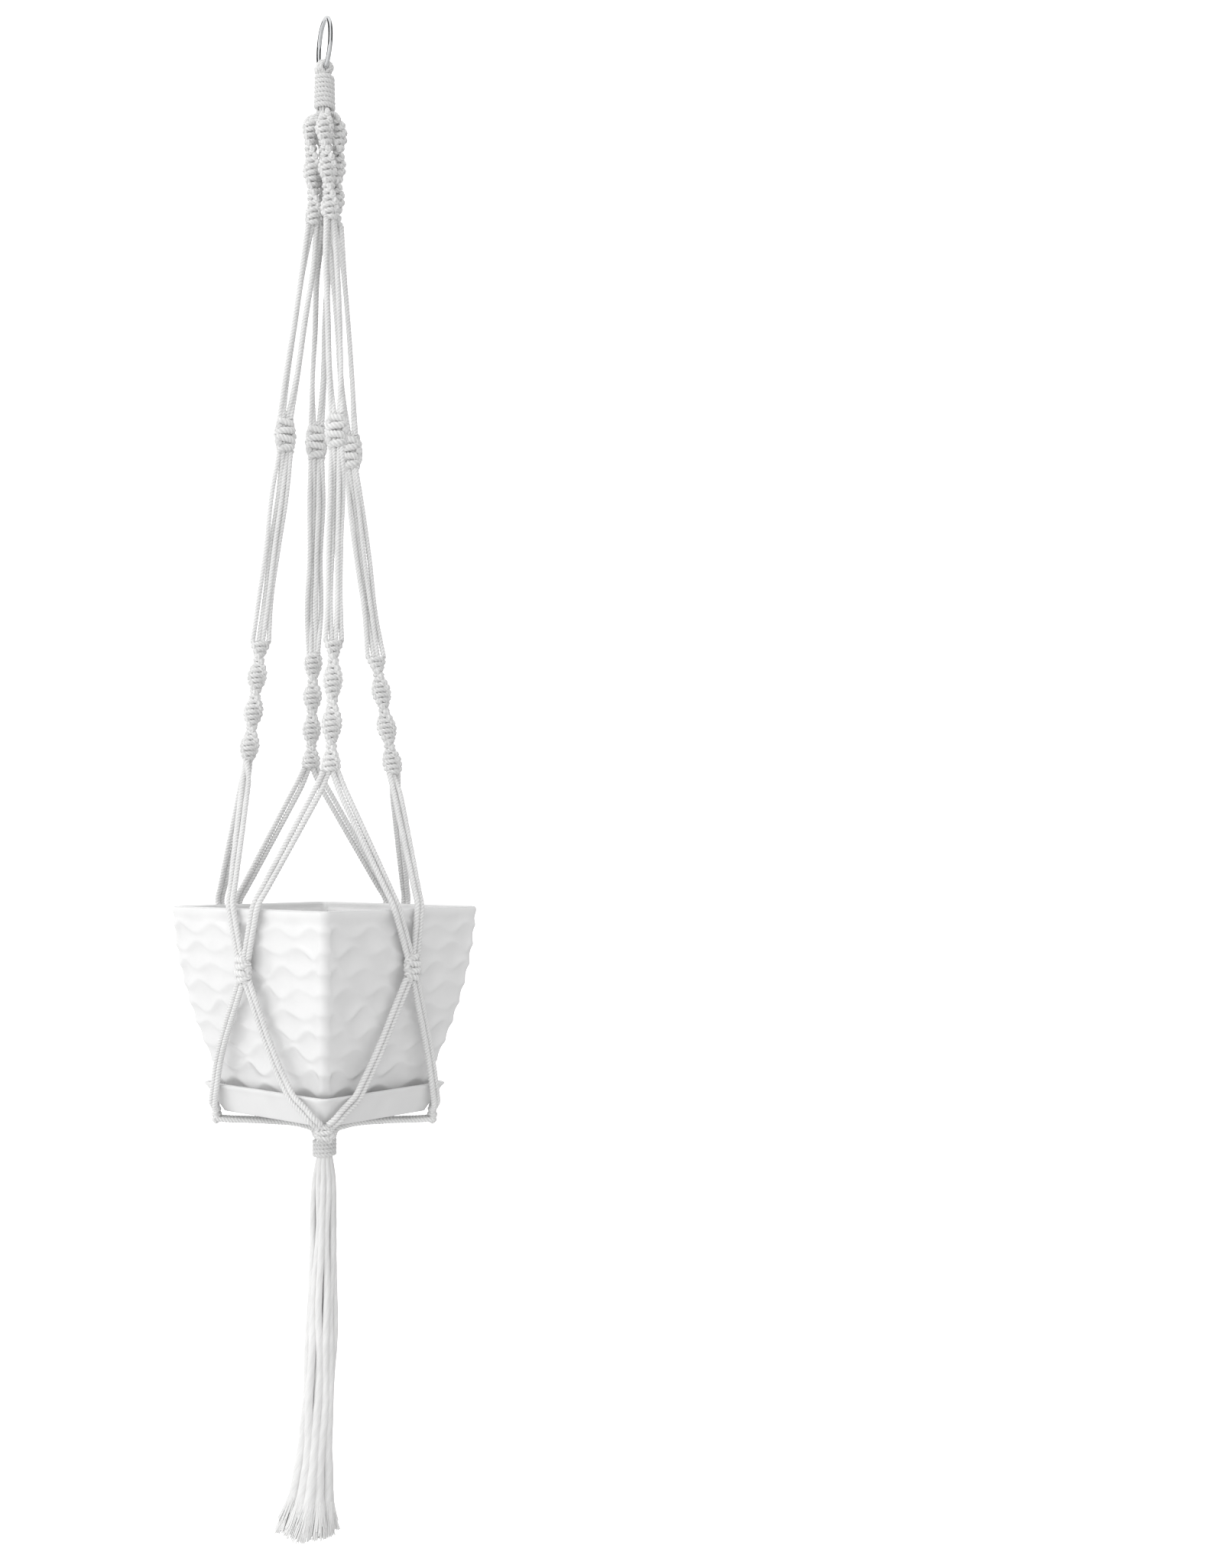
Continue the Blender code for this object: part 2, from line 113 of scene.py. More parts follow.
grain = node(paper_tree, "ShaderNodeTexNoise", {"Scale": 3.0, "Detail": 2.0})
paper_ramp = node(paper_tree, "ShaderNodeValToRGB", {"Fac": grain.outputs["Fac"]})
paper_ramp.color_ramp.elements[0].color = (0.90, 0.90, 0.90, 1)
paper_ramp.color_ramp.elements[1].color = (0.93, 0.93, 0.93, 1)
paper_tree.links.new(paper_ramp.outputs["Color"], paper_surface.inputs["Base Color"])
paper_tree.links.new(paper_ramp.outputs["Color"], paper_surface.inputs["Emission Color"])
paper_surface.inputs["Emission Strength"].default_value = 0.65
sweep_mesh.materials.append(paper)
sweep = add_piece("paper_sweep", sweep_mesh)
sweep.visible_diffuse = False
sweep.visible_glossy = False
sweep.visible_shadow = False

card_finish, card_tree, card_surface = shaded("black_card", Roughness=0.95)
card_grain = node(card_tree, "ShaderNodeTexNoise", {"Scale": 40.0})
card_ramp = node(card_tree, "ShaderNodeValToRGB", {"Fac": card_grain.outputs["Fac"]})
card_ramp.color_ramp.elements[0].color = (0.008, 0.008, 0.008, 1)
card_ramp.color_ramp.elements[1].color = (0.016, 0.016, 0.016, 1)
card_tree.links.new(card_ramp.outputs["Color"], card_surface.inputs["Base Color"])
CARD_AWAY = 0.8
CARD_HALF = 0.9
CARD_FOOT = -0.05
CARD_HEAD = 1.3
for name, x in (("left_card", -CARD_AWAY), ("right_card", CARD_AWAY)):
    card_corners = [
        (x, -CARD_HALF, CARD_FOOT),
        (x, CARD_HALF, CARD_FOOT),
        (x, CARD_HALF, CARD_HEAD),
        (x, -CARD_HALF, CARD_HEAD),
    ]
    card_mesh = bpy.data.meshes.new(name)
    card_mesh.from_pydata(card_corners, [], [(0, 1, 2, 3)])
    card_mesh.materials.append(card_finish)
    card = add_piece(name, card_mesh)
    card.visible_camera = False
    card.visible_diffuse = False
    card.visible_shadow = False

world = bpy.data.worlds.new("pale_air")
world.use_nodes = True
air = world.node_tree
air_way = node(air, "ShaderNodeTexCoord")
towards_light = node(
    air,
    "ShaderNodeVectorMath",
    {0: air_way.outputs["Generated"], 1: (-0.80, -0.36, 0.48)},
    operation="DOT_PRODUCT",
)
air_light = node(
    air,
    "ShaderNodeMapRange",
    {"Value": towards_light.outputs["Value"], "From Min": -1.0, "To Min": 0.54, "To Max": 1.20},
)
air.links.new(air_light.outputs["Result"], air.nodes["Background"].inputs["Strength"])
air.nodes["Background"].inputs["Color"].default_value = (1.0, 1.0, 1.0, 1)
bpy.context.scene.world = world
lamp = bpy.data.lights.new("left_lamp", "AREA")
lamp.shape = "SQUARE"
lamp.size = 0.9
lamp.energy = 5.0
lamp_object = bpy.data.objects.new("left_lamp", lamp)
lamp_object.location = (-1.7, -0.7, 0.3)
lamp_object.rotation_euler = (radians(72), 0, radians(-68))
bpy.context.scene.collection.objects.link(lamp_object)


# The hanging ring: a closed ring of round steel wire, polished and chromed. It hangs on a hook by the
# inside of its top and stands nearly edge on to the front, its near side a little to the right.
WIRE_RADIUS = 0.0016
RING_RADIUS = 0.01665
RING_MIDDLE = -0.01505
RING_YAW = radians(14)
ring_across = np.array([cos(RING_YAW), sin(RING_YAW), 0.0])
ring_along = np.array([-sin(RING_YAW), cos(RING_YAW), 0.0])
UP = np.array([0.0, 0.0, 1.0])
WIRE_STEPS = 160
WIRE_SIDES = 24


def closed_grid(name, rings, wrap_rows=False):
    """A mesh through rings of points, each ring closed, and the rows closed too or with capped ends."""
    count, sides = len(rings), len(rings[0])
    faces = []
    for k in range(count if wrap_rows else count - 1):
        low, high = k * sides, (k + 1) % count * sides
        for j in range(sides):
            after = (j + 1) % sides
            faces.append((low + j, low + after, high + after, high + j))
    if not wrap_rows:
        faces.append(tuple(range(sides))[::-1])
        faces.append(tuple(range((count - 1) * sides, count * sides)))
    mesh = bpy.data.meshes.new(name)
    mesh.from_pydata([tuple(p) for ring in rings for p in ring], [], faces)
    mesh.shade_smooth()
    return mesh


wire_rings = []
for k in range(WIRE_STEPS):
    turn = 2 * pi * k / WIRE_STEPS
    spoke = ring_along * sin(turn) - UP * cos(turn)
    ring = []
    for j in range(WIRE_SIDES):
        side = 2 * pi * j / WIRE_SIDES
        reach = RING_RADIUS + WIRE_RADIUS * cos(side)
        ring.append(UP * RING_MIDDLE + spoke * reach + ring_across * WIRE_RADIUS * sin(side))
    wire_rings.append(ring)
ring_mesh = closed_grid("ring_wire", wire_rings, wrap_rows=True)
chrome, chrome_tree, chrome_surface = shaded("polished_chrome", Metallic=1.0)
chrome_place = node(chrome_tree, "ShaderNodeTexCoord")
smears = node(
    chrome_tree,
    "ShaderNodeTexNoise",
    {"Vector": chrome_place.outputs["Object"], "Scale": 420.0, "Detail": 3.0},
)
chrome_colour = node(chrome_tree, "ShaderNodeValToRGB", {"Fac": smears.outputs["Fac"]})
chrome_colour.color_ramp.elements[0].color = (0.60, 0.61, 0.62, 1)
chrome_colour.color_ramp.elements[1].color = (0.84, 0.85, 0.86, 1)
chrome_rough = node(
    chrome_tree,
    "ShaderNodeMapRange",
    {"Value": smears.outputs["Fac"], "To Min": 0.05, "To Max": 0.17},
)
chrome_tree.links.new(chrome_colour.outputs["Color"], chrome_surface.inputs["Base Color"])
chrome_tree.links.new(chrome_rough.outputs["Result"], chrome_surface.inputs["Roughness"])
ring_mesh.materials.append(chrome)
ring_piece = add_piece("ring_wire", ring_mesh)
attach(ring_piece, "ring")
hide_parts("hanging_ring")


# The cord: soft cotton of three plies laid up right-handed, about 3.4 mm thick, a natural off-white.
# Each run of it is drawn as its middle line, and this tree lays the twisted plies along that line.
CORD = 0.0034
CORD_LAY = 0.0067
PLY_GROOVE = 0.11
LINE_STEP = 0.0012
# How much the cord's colour is darkened in the hollows between the plies, a painted shade.
PLY_PAINTED_SHADE = 0.45
FIBRE_TONE = 0.55
PATCH_TONE = 0.30
FUZZ_HEIGHT = 0.0003


def cotton_finish(name, dark, pale, fibre_run, fineness, fuzz):
    """Soft cotton: fibres that run along the cord, with painted shade darkening the hollows between plies,
    uneven in tone.
    fibre_run is how fast the fibres change along the cord, so a small one gives long straight fibres."""
    material, tree, surface = shaded(name, Roughness=0.88, Sheen_Weight=0.25, Sheen_Roughness=0.5)
    across = node(tree, "ShaderNodeAttribute", attribute_name="across")
    down = node(tree, "ShaderNodeAttribute", attribute_name="down")
    run = node(tree, "ShaderNodeMath", {0: down.outputs["Fac"], 1: fibre_run}, operation="MULTIPLY")
    run_z = node(tree, "ShaderNodeCombineXYZ", {"Z": run.outputs[0]})
    along = node(
        tree, "ShaderNodeVectorMath", {0: across.outputs["Vector"], 1: run_z.outputs[0]}, operation="ADD"
    )
    fibres = node(
        tree,
        "ShaderNodeTexNoise",
        {"Vector": along.outputs[0], "Scale": fineness, "Detail": 4.0, "Roughness": 0.65},
    )
    height = node(tree, "ShaderNodeVectorMath", {0: across.outputs["Vector"]}, operation="LENGTH")
    # Painted shade: the colour is darkened where the cross-section lies low, in the hollows between the
    # plies.
    painted_groove_shade = node(
        tree,
        "ShaderNodeMapRange",
        {"Value": height.outputs["Value"], "From Min": 1 - PLY_GROOVE, "From Max": 1 + PLY_GROOVE},
    )
    place = node(tree, "ShaderNodeTexCoord")
    patches = node(
        tree, "ShaderNodeTexNoise", {"Vector": place.outputs["Object"], "Scale": 45.0, "Detail": 1.0}
    )
    # The tone mixes the painted shade of the hollows with the fibres' and patches' own uneven tone.
    tone = node(
        tree, "ShaderNodeMath", {0: painted_groove_shade.outputs[0], 1: PLY_PAINTED_SHADE, 2: -0.10}, operation="MULTIPLY_ADD"
    )
    for mottle, weight in ((fibres, FIBRE_TONE), (patches, PATCH_TONE)):
        tone = node(
            tree,
            "ShaderNodeMath",
            {0: mottle.outputs["Fac"], 1: weight, 2: tone.outputs[0]},
            operation="MULTIPLY_ADD",
        )
    colour = node(tree, "ShaderNodeValToRGB", {"Fac": tone.outputs[0]})
    colour.color_ramp.elements[0].position = 0.15
    colour.color_ramp.elements[0].color = (dark, dark, dark * 0.995, 1)
    colour.color_ramp.elements[1].position = 0.75
    colour.color_ramp.elements[1].color = (pale, pale, pale * 0.995, 1)
    bump = node(
        tree,
        "ShaderNodeBump",
        {"Strength": fuzz, "Distance": FUZZ_HEIGHT, "Height": fibres.outputs["Fac"]},
    )
    tree.links.new(colour.outputs["Color"], surface.inputs["Base Color"])
    tree.links.new(bump.outputs["Normal"], surface.inputs["Normal"])
    return material


cotton = cotton_finish("cotton_cord", 0.66, 0.96, 70.0, 4.5, 0.5)

cord_maker = bpy.data.node_groups.new("laid_cord", "GeometryNodeTree")
cord_maker.interface.new_socket("Lines", in_out="INPUT", socket_type="NodeSocketGeometry")
cord_sockets = {}
for name, kind, value in (
    ("Thickness", "NodeSocketFloat", CORD),
    ("Lay", "NodeSocketFloat", CORD_LAY),
    ("Groove", "NodeSocketFloat", PLY_GROOVE),
    ("Step", "NodeSocketFloat", LINE_STEP),
    ("Sides", "NodeSocketInt", 12),
    ("Seed", "NodeSocketInt", 7),
    ("Finish", "NodeSocketMaterial", None),
):
    socket = cord_maker.interface.new_socket(name, in_out="INPUT", socket_type=kind)
    if value is not None:
        socket.default_value = value
    cord_sockets[name] = socket.identifier
cord_maker.interface.new_socket("Cords", in_out="OUTPUT", socket_type="NodeSocketGeometry")
given = node(cord_maker, "NodeGroupInput")
middle_lines = node(cord_maker, "GeometryNodeMeshToCurve", {"Mesh": given.outputs["Lines"]})
even_lines = node(
    cord_maker,
    "GeometryNodeResampleCurve",
    {"Curve": middle_lines.outputs[0], "Length": given.outputs["Step"]},
    mode="LENGTH",
)
reach = node(cord_maker, "GeometryNodeSplineParameter")
which = node(cord_maker, "GeometryNodeCurveOfPoint")
start_turn = node(
    cord_maker,
    "FunctionNodeRandomValue",
    {"ID": which.outputs["Curve Index"], "Seed": given.outputs["Seed"]},
)
turns = node(
    cord_maker,
    "ShaderNodeMath",
    {0: reach.outputs["Length"], 1: given.outputs["Lay"]},
    operation="DIVIDE",
)
all_turns = node(cord_maker, "ShaderNodeMath", {0: turns.outputs[0], 1: start_turn.outputs[1]})
tilt = node(cord_maker, "ShaderNodeMath", {0: all_turns.outputs[0], 1: 2 * pi}, operation="MULTIPLY")
tilted = node(
    cord_maker, "GeometryNodeSetCurveTilt", {"Curve": even_lines.outputs[0], "Tilt": tilt.outputs[0]}
)
fresh_cotton = node(
    cord_maker, "ShaderNodeMath", {0: start_turn.outputs[1], 1: 0.37, 2: reach.outputs["Length"]},
    operation="MULTIPLY_ADD",
)
marked = node(
    cord_maker,
    "GeometryNodeStoreNamedAttribute",
    {"Geometry": tilted.outputs[0], "Name": "down", "Value": fresh_cotton.outputs[0]},
    data_type="FLOAT",
    domain="POINT",
)
circle = node(
    cord_maker, "GeometryNodeCurvePrimitiveCircle", {"Resolution": given.outputs["Sides"], "Radius": 1.0}
)
number = node(cord_maker, "GeometryNodeInputIndex")
ply_angle = node(
    cord_maker, "ShaderNodeMath", {0: number.outputs[0], 1: given.outputs["Sides"]}, operation="DIVIDE"
)
ply_turn = node(cord_maker, "ShaderNodeMath", {0: ply_angle.outputs[0], 1: 6 * pi}, operation="MULTIPLY")
ply_wave = node(cord_maker, "ShaderNodeMath", {0: ply_turn.outputs[0]}, operation="COSINE")
ply_swell = node(
    cord_maker,
    "ShaderNodeMath",
    {0: ply_wave.outputs[0], 1: given.outputs["Groove"], 2: 1.0},
    operation="MULTIPLY_ADD",
)
round_place = node(cord_maker, "GeometryNodeInputPosition")
lobed_place = node(
    cord_maker,
    "ShaderNodeVectorMath",
    {0: round_place.outputs[0], "Scale": ply_swell.outputs[0]},
    operation="SCALE",
)
lobed = node(
    cord_maker,
    "GeometryNodeSetPosition",
    {"Geometry": circle.outputs[0], "Position": lobed_place.outputs[0]},
)
section = node(
    cord_maker,
    "GeometryNodeStoreNamedAttribute",
    {"Geometry": lobed.outputs[0], "Name": "across"},
    data_type="FLOAT_VECTOR",
    domain="POINT",
)
section_place = node(cord_maker, "GeometryNodeInputPosition")
cord_maker.links.new(section_place.outputs[0], section.inputs["Value"])
fat = node(cord_maker, "GeometryNodeInputNamedAttribute", {"Name": "fat"}, data_type="FLOAT")
half = node(cord_maker, "ShaderNodeMath", {0: given.outputs["Thickness"], 1: 0.5}, operation="MULTIPLY")
scale = node(
    cord_maker, "ShaderNodeMath", {0: half.outputs[0], 1: fat.outputs[0]}, operation="MULTIPLY"
)
cord_skin = node(
    cord_maker,
    "GeometryNodeCurveToMesh",
    {
        "Curve": marked.outputs[0],
        "Profile Curve": section.outputs[0],
        "Scale": scale.outputs[0],
        "Fill Caps": True,
    },
)
soft_skin = node(cord_maker, "GeometryNodeSetShadeSmooth", {"Geometry": cord_skin.outputs[0]})
dressed = node(
    cord_maker,
    "GeometryNodeSetMaterial",
    {"Geometry": soft_skin.outputs[0], "Material": given.outputs["Finish"]},
)
real = node(cord_maker, "GeometryNodeRealizeInstances", {"Geometry": dressed.outputs[0]})
node(cord_maker, "NodeGroupOutput", {"Cords": real.outputs[0]})


def cords(name, lines, body, nodes=(), slot="cotton_cord", fats=None, finish=cotton, **sizes):
    """One piece made of cords along these middle lines. fats are shares of the thickness along a line."""
    points = []
    edges = []
    shares = []
    for k, line in enumerate(lines):
        first = len(points)
        points.extend(tuple(p) for p in line)
        edges.extend((first + j, first + j + 1) for j in range(len(line) - 1))
        shares.extend(np.ones(len(line)) if fats is None else fats[k])
    line_mesh = bpy.data.meshes.new(name + "_lines")
    line_mesh.from_pydata(points, edges, [])
    fat_marks = line_mesh.attributes.new("fat", "FLOAT", "POINT")
    fat_marks.data.foreach_set("value", np.array(shares, np.float32))
    drawn = add_piece(name + "_lines", line_mesh)
    maker = drawn.modifiers.new("cord", "NODES")
    maker.node_group = cord_maker
    maker[cord_sockets["Finish"]] = finish
    for key, value in sizes.items():
        maker[cord_sockets[key]] = value
    graph = bpy.context.evaluated_depsgraph_get()
    mesh = bpy.data.meshes.new_from_object(
        drawn.evaluated_get(graph), preserve_all_data_layers=True, depsgraph=graph
    )
    mesh.name = name
    bpy.data.objects.remove(drawn)
    piece = add_piece(name, mesh)
    if isinstance(body, tuple):
        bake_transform(piece)
    else:
        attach(piece, body)
    if nodes:
        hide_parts(*nodes)
    return piece


def through(way, step=LINE_STEP):
    """Points about a step apart on one smooth curve through the points of a way."""
    marks = np.array([tuple(p) for p in way], float)
    gaps = np.linalg.norm(np.diff(marks, axis=0), axis=1)
    at = np.concatenate([[0.0], np.cumsum(gaps)])
    slopes = np.gradient(marks, at, axis=0)
    where = np.linspace(0, at[-1], max(3, round(at[-1] / step) + 1))
    k = np.clip(np.searchsorted(at, where, side="right") - 1, 0, len(gaps) - 1)
    gap = gaps[k][:, None]
    u = (where[:, None] - at[k][:, None]) / gap
    from_start = (1 + 2 * u) * (1 - u) ** 2 * marks[k] + u * (1 - u) ** 2 * gap * slopes[k]
    from_end = u * u * (3 - 2 * u) * marks[k + 1] + u * u * (u - 1) * gap * slopes[k + 1]
    return from_start + from_end


def eased(line, times=3):
    """The same line with its corners rounded off and its ends kept."""
    line = np.array(line, float)
    for _ in range(times):
        line[1:-1] = line[1:-1] * 0.5 + (line[:-2] + line[2:]) * 0.25
    return line


def spot(place, z):
    return np.array([place[0], place[1], z])


# The crown: eight cords laid over the foot of the ring, each folded in half, five against the wire and
# three in the hollows on top of them. Their sixteen legs close in below the wire and go into the wrap.
WRAP_TOP = -0.0353
WRAP_FOOT = -0.0610
INNER_BEND = 0.0032
OUTER_BEND = 0.0048
BUNDLE_RADIUS = 0.0031
INTO_WRAP = 0.012
IN_WRAP_SHARE = 0.62
FINE_LINE = 0.0008
FINE_STEP = 0.0009
crown_lines = []
crown_fats = []
seats = []
for k in range(16):
    spread = BUNDLE_RADIUS * ((k + 0.5) / 16) ** 0.5
    seats.append((spread * cos(2.4 * k), spread * sin(2.4 * k)))
seats.sort()
left_seats = sorted(seats[:8], key=lambda seat: seat[1])
right_seats = sorted(seats[8:], key=lambda seat: seat[1])
folds = [(-0.0036, INNER_BEND), (-0.0022, OUTER_BEND), (-0.0010, INNER_BEND), (0.0014, INNER_BEND)]
folds += [(0.0018, OUTER_BEND), (0.0036, INNER_BEND), (0.0050, OUTER_BEND), (0.0060, INNER_BEND)]
for (along, bend), left, right in zip(folds, left_seats, right_seats):
    swing = along / RING_RADIUS
    spoke = ring_along * sin(swing) - UP * cos(swing)
    middle = UP * RING_MIDDLE + spoke * RING_RADIUS
    way = [spot(left, WRAP_FOOT + INTO_WRAP), spot(left, WRAP_TOP + 0.001)]
    for k in range(7):
        turn = pi * k / 6
        way.append(middle - ring_across * bend * cos(turn) - spoke * bend * sin(turn))
    way += [spot(right, WRAP_TOP + 0.001), spot(right, WRAP_FOOT + INTO_WRAP)]
    line = through(way, FINE_LINE)
    crown_lines.append(line)
    crown_fats.append(np.interp(line[:, 2], [WRAP_TOP, WRAP_TOP + 0.005], [IN_WRAP_SHARE, 0.95]))
cords("crown_cords", crown_lines, "crown", ["crown_loops"], fats=crown_fats, Step=FINE_STEP)


# The top wrap: one more cord wound tightly round the sixteen, eight turns, with both its ends pulled
# inside it. It is the same cotton, flattened a little by the pull, so that its turns touch.
def wound(top, foot, turns, top_radius, foot_radius, first_turn, hand):
    """The middle line of a cord wound round the Z axis. At the front, hand 1 rises to the right and
    hand -1 falls."""
    line = []
    steps = 36 * turns
    for k in range(steps + 1):
        share = k / steps
        turn = first_turn + 2 * pi * turns * share
        radius = foot_radius + (top_radius - foot_radius) * share
        line.append((hand * radius * sin(turn), -radius * cos(turn), foot + (top - foot) * share))
    return line


TOP_WRAP_TURNS = 8
TOP_WRAP_CORD = 0.0033
TOP_COIL_RADIUS = 0.00535
TOP_COIL_FOOT_RADIUS = 0.00590
TOP_COIL_START = 2.2
half_cord = TOP_WRAP_CORD / 2
top_coil = wound(
    WRAP_TOP - half_cord, WRAP_FOOT + half_cord, TOP_WRAP_TURNS - 1,
    TOP_COIL_RADIUS, TOP_COIL_FOOT_RADIUS, TOP_COIL_START, -1,
)
cords(
    "top_wrap_coils", [top_coil], "crown", ["top_wrap"], "wrap_cord",
    Thickness=TOP_WRAP_CORD, Step=FINE_STEP,
)


# The upper sennits: under the wrap the sixteen cords part into four arms of four. In each arm two cords
# are knotted round the other two in a row of half knots, all tied the same way, so the row spirals.
ARMS = {
    "left": {
        "out": (-1.0, 0.0),
        "sennit_foot": (-0.0068, 0.0000),
        "sennit_wide_at": (-0.0700, 0.0315),
        "spiral_waist": (0.0112, 0.0240),
        "knot_yaw": 0.5,
        "mid_knot": (-0.0270, 0.0020, -0.2810),
        "spiral_head": (-0.0435, 0.0010, -0.4220),
        "spiral_foot": (-0.0522, 0.0000, -0.5037),
    },
    "back": {
        "out": (0.0, 1.0),
        "sennit_foot": (-0.0005, 0.0092),
        "sennit_wide_at": (-0.0730, 0.0260),
        "spiral_waist": (0.0184, 0.0234),
        "knot_yaw": 0.2,
        "mid_knot": (-0.0057, 0.0220, -0.2807),
        "spiral_head": (-0.0079, 0.0420, -0.4250),
        "spiral_foot": (-0.0098, 0.0500, -0.5059),
    },
    "front": {
        "out": (0.0, -1.0),
        "sennit_foot": (0.0040, -0.0095),
        "sennit_wide_at": (-0.0760, 0.0270),
        "spiral_waist": (0.0120, 0.0285),
        "knot_yaw": -0.15,
        "mid_knot": (0.0081, -0.0200, -0.2836),
        "spiral_head": (0.0060, -0.0420, -0.4268),
        "spiral_foot": (0.0040, -0.0500, -0.5135),
    },
    "right": {
        "out": (1.0, 0.0),
        "sennit_foot": (0.0070, 0.0020),
        "sennit_wide_at": (-0.0760, 0.0220),
        "spiral_waist": (0.0120, 0.0244),
        "knot_yaw": -0.4,
        "mid_knot": (0.0187, 0.0140, -0.2898),
        "spiral_head": (0.0350, 0.0020, -0.4323),
        "spiral_foot": (0.0473, 0.0000, -0.5126),
    },
}
SENNIT_HEAD = -0.0630
SENNIT_KNOTS_FROM = -0.0665
SENNIT_FOOT = -0.1385
SENNIT_KNOTS = 17
SENNIT_WIDE = 0.0053
SENNIT_DEEP = 0.0034
FILLER_APART = 0.0014
SENNIT_SEATS = ((0.0012, -0.0007), (0.0012, 0.0007), (0.0028, -0.0012), (0.0028, 0.0012))
SENNIT_HEAD_DROP = 0.0064


def half_knots(spine, count, wide, deep, first_facing, facing_each):
    """The middle lines of a row of half knots down a spine: two working cords and two straight fillers.
    Each knot takes one working cord across the front and the other across the back, and they change sides."""
    steps = np.linspace(0, count, count * 14 + 1)
    drop = steps + 0.55 * np.sin(2 * pi * steps) / (2 * pi)
    where = np.clip(drop / count, 0, 1) * (len(spine) - 1)
    middle = np.array([np.interp(where, np.arange(len(spine)), spine[:, k]) for k in range(3)]).T
    facing = first_facing + facing_each * steps
    level = np.zeros(len(steps))
    across = np.array([np.cos(facing), np.sin(facing), level]).T
    ahead = np.array([np.sin(facing), -np.cos(facing), level]).T
    side = wide * np.cos(pi * steps)[:, None]
    forward = deep * 0.5 * (np.sin(pi * steps) - np.sin(3 * pi * steps))[:, None]
    worker = across * side + ahead * forward
    filler = np.array([FILLER_APART, 0, 0])
    return [middle + worker, middle - worker, spine - filler, spine + filler]


def out_of(arm):
    """The unit vectors out from the planter's axis along an arm, and level across that arm."""
    x, y = ARMS[arm]["out"]
    return np.array([x, y, 0.0]), np.array([-y, x, 0.0])


def matched(ends, starts):
    """Pairs each end with the start that lies nearest in order from left to right."""
    order = sorted(range(len(ends)), key=lambda k: ends[k][0])
    places = sorted(range(len(starts)), key=lambda k: starts[k][0])
    return [(ends[a], starts[b]) for a, b in zip(order, places)]


rope_ends = {}
for arm, place in ARMS.items():
    out, level = out_of(arm)
    foot = spot(place["sennit_foot"], SENNIT_FOOT)
    way = [
        out * 0.0050 + UP * SENNIT_HEAD,
        out * 0.0080 + UP * (SENNIT_HEAD - 0.004),
        out * 0.0092 + UP * (SENNIT_HEAD - 0.012),
        (out * 0.0096 + spot(place["sennit_foot"], 0.0)) / 2 + UP * (SENNIT_HEAD + SENNIT_FOOT) / 2,
        foot,
    ]
    spine = through(way, FINE_LINE)
    spine = spine[spine[:, 2] < SENNIT_KNOTS_FROM]
    wide_at, half_turn = place["sennit_wide_at"]
    turn_each = pi * (SENNIT_KNOTS_FROM - SENNIT_FOOT) / SENNIT_KNOTS / half_turn
    first = pi * (wide_at - SENNIT_KNOTS_FROM) / half_turn
    knotted = half_knots(spine, SENNIT_KNOTS, SENNIT_WIDE, SENNIT_DEEP, first, turn_each)
    seats = [
        out * seat_out + level * seat_side + UP * (WRAP_FOOT + 0.005)
        for seat_out, seat_side in SENNIT_SEATS
    ]
    lines = []
    fats = []
    for seat, line in zip(
        sorted(seats, key=lambda p: p[0]), sorted(knotted, key=lambda each: each[0][0])
    ):
        head = through([seat, seat - UP * SENNIT_HEAD_DROP, seat * 0.35 + line[0] * 0.65, line[0]])
        line = eased(np.concatenate([head[:-1], line]))
        lines.append(line)
        fats.append(np.interp(-line[:, 2], [-WRAP_FOOT, 0.004 - WRAP_FOOT], [IN_WRAP_SHARE, 1.0]))
    rope_ends[arm] = [line[-1] for line in lines]
    cords(arm + "_sennit", lines, "cradle", ["upper_sennit_" + arm], fats=fats, Step=FINE_STEP)


# The middle knots: half way down, each arm is tied together in two square knots. The working cords hang
# loose beside their fillers from the sennit to the knot, and again from the knot to the lower spiral.
MID_KNOT_HEIGHT = 0.0225
MID_KNOT_WIDE = 0.0052
MID_KNOT_DEEP = 0.0034
MID_KNOT_CROSSINGS = 4
MID_KNOT_CORD = 0.0046
X_WAY = np.array([1.0, 0.0, 0.0])
Y_WAY = np.array([0.0, 1.0, 0.0])
chance = np.random.default_rng(11)


def square_knot(middle, across, ahead, height, wide, deep, crossings):
    """The middle lines of a square knot's cords. One working cord zigzags across the front and the other
    across the back, and the back one hooks round the front one at each side. Two fillers run straight."""
    steps = np.linspace(0, crossings, crossings * 14 + 1)
    drop = (steps + 0.5 * np.sin(2 * pi * steps) / (2 * pi)) / crossings
    fall = UP * (height / 2 - height * drop)[:, None]
    barrel = 0.74 + 0.42 * np.sin(pi * np.clip(drop, 0, 1))
    side = across * (wide * barrel * np.tanh(1.7 * np.cos(pi * steps)) / np.tanh(1.7))[:, None]
    swell = np.sin(pi * steps) ** 2 * barrel
    front_cord = middle + fall - side + ahead * (deep * (1.25 * swell - 0.25))[:, None]
    back_cord = middle + fall + side + ahead * (deep * (0.4 - 1.4 * swell))[:, None]
    ends = [middle + UP * height / 2, middle - UP * height / 2]
    filler = across * min(0.0016, wide * 0.4)
    fillers = [through([p + filler * side_sign for p in ends]) for side_sign in (-1, 1)]
    return [front_cord, back_cord, *fillers]


def loose_run(ends, starts, apart, behind, slack):
    """Four cords hanging from one knot to the next, a little uneven as soft cord is. apart holds the places
    of the four across the arm, and every other one lies behind the rest."""
    lines = []
    for k, (top, foot) in enumerate(matched(ends, starts)):
        middle = (np.mean(ends, axis=0) + np.mean(starts, axis=0)) / 2
        run = np.mean(starts, axis=0) - np.mean(ends, axis=0)
        way = [top]
        for share in (0.22, 0.5, 0.78):
            stray = chance.normal(0, slack, 2)
            beside = X_WAY * (apart[k] + stray[0]) + Y_WAY * ((k % 2 - 0.5) * behind + stray[1])
            way.append(middle + run * (share - 0.5) + beside)
        way.append(foot)
        lines.append(through(way))
    return lines


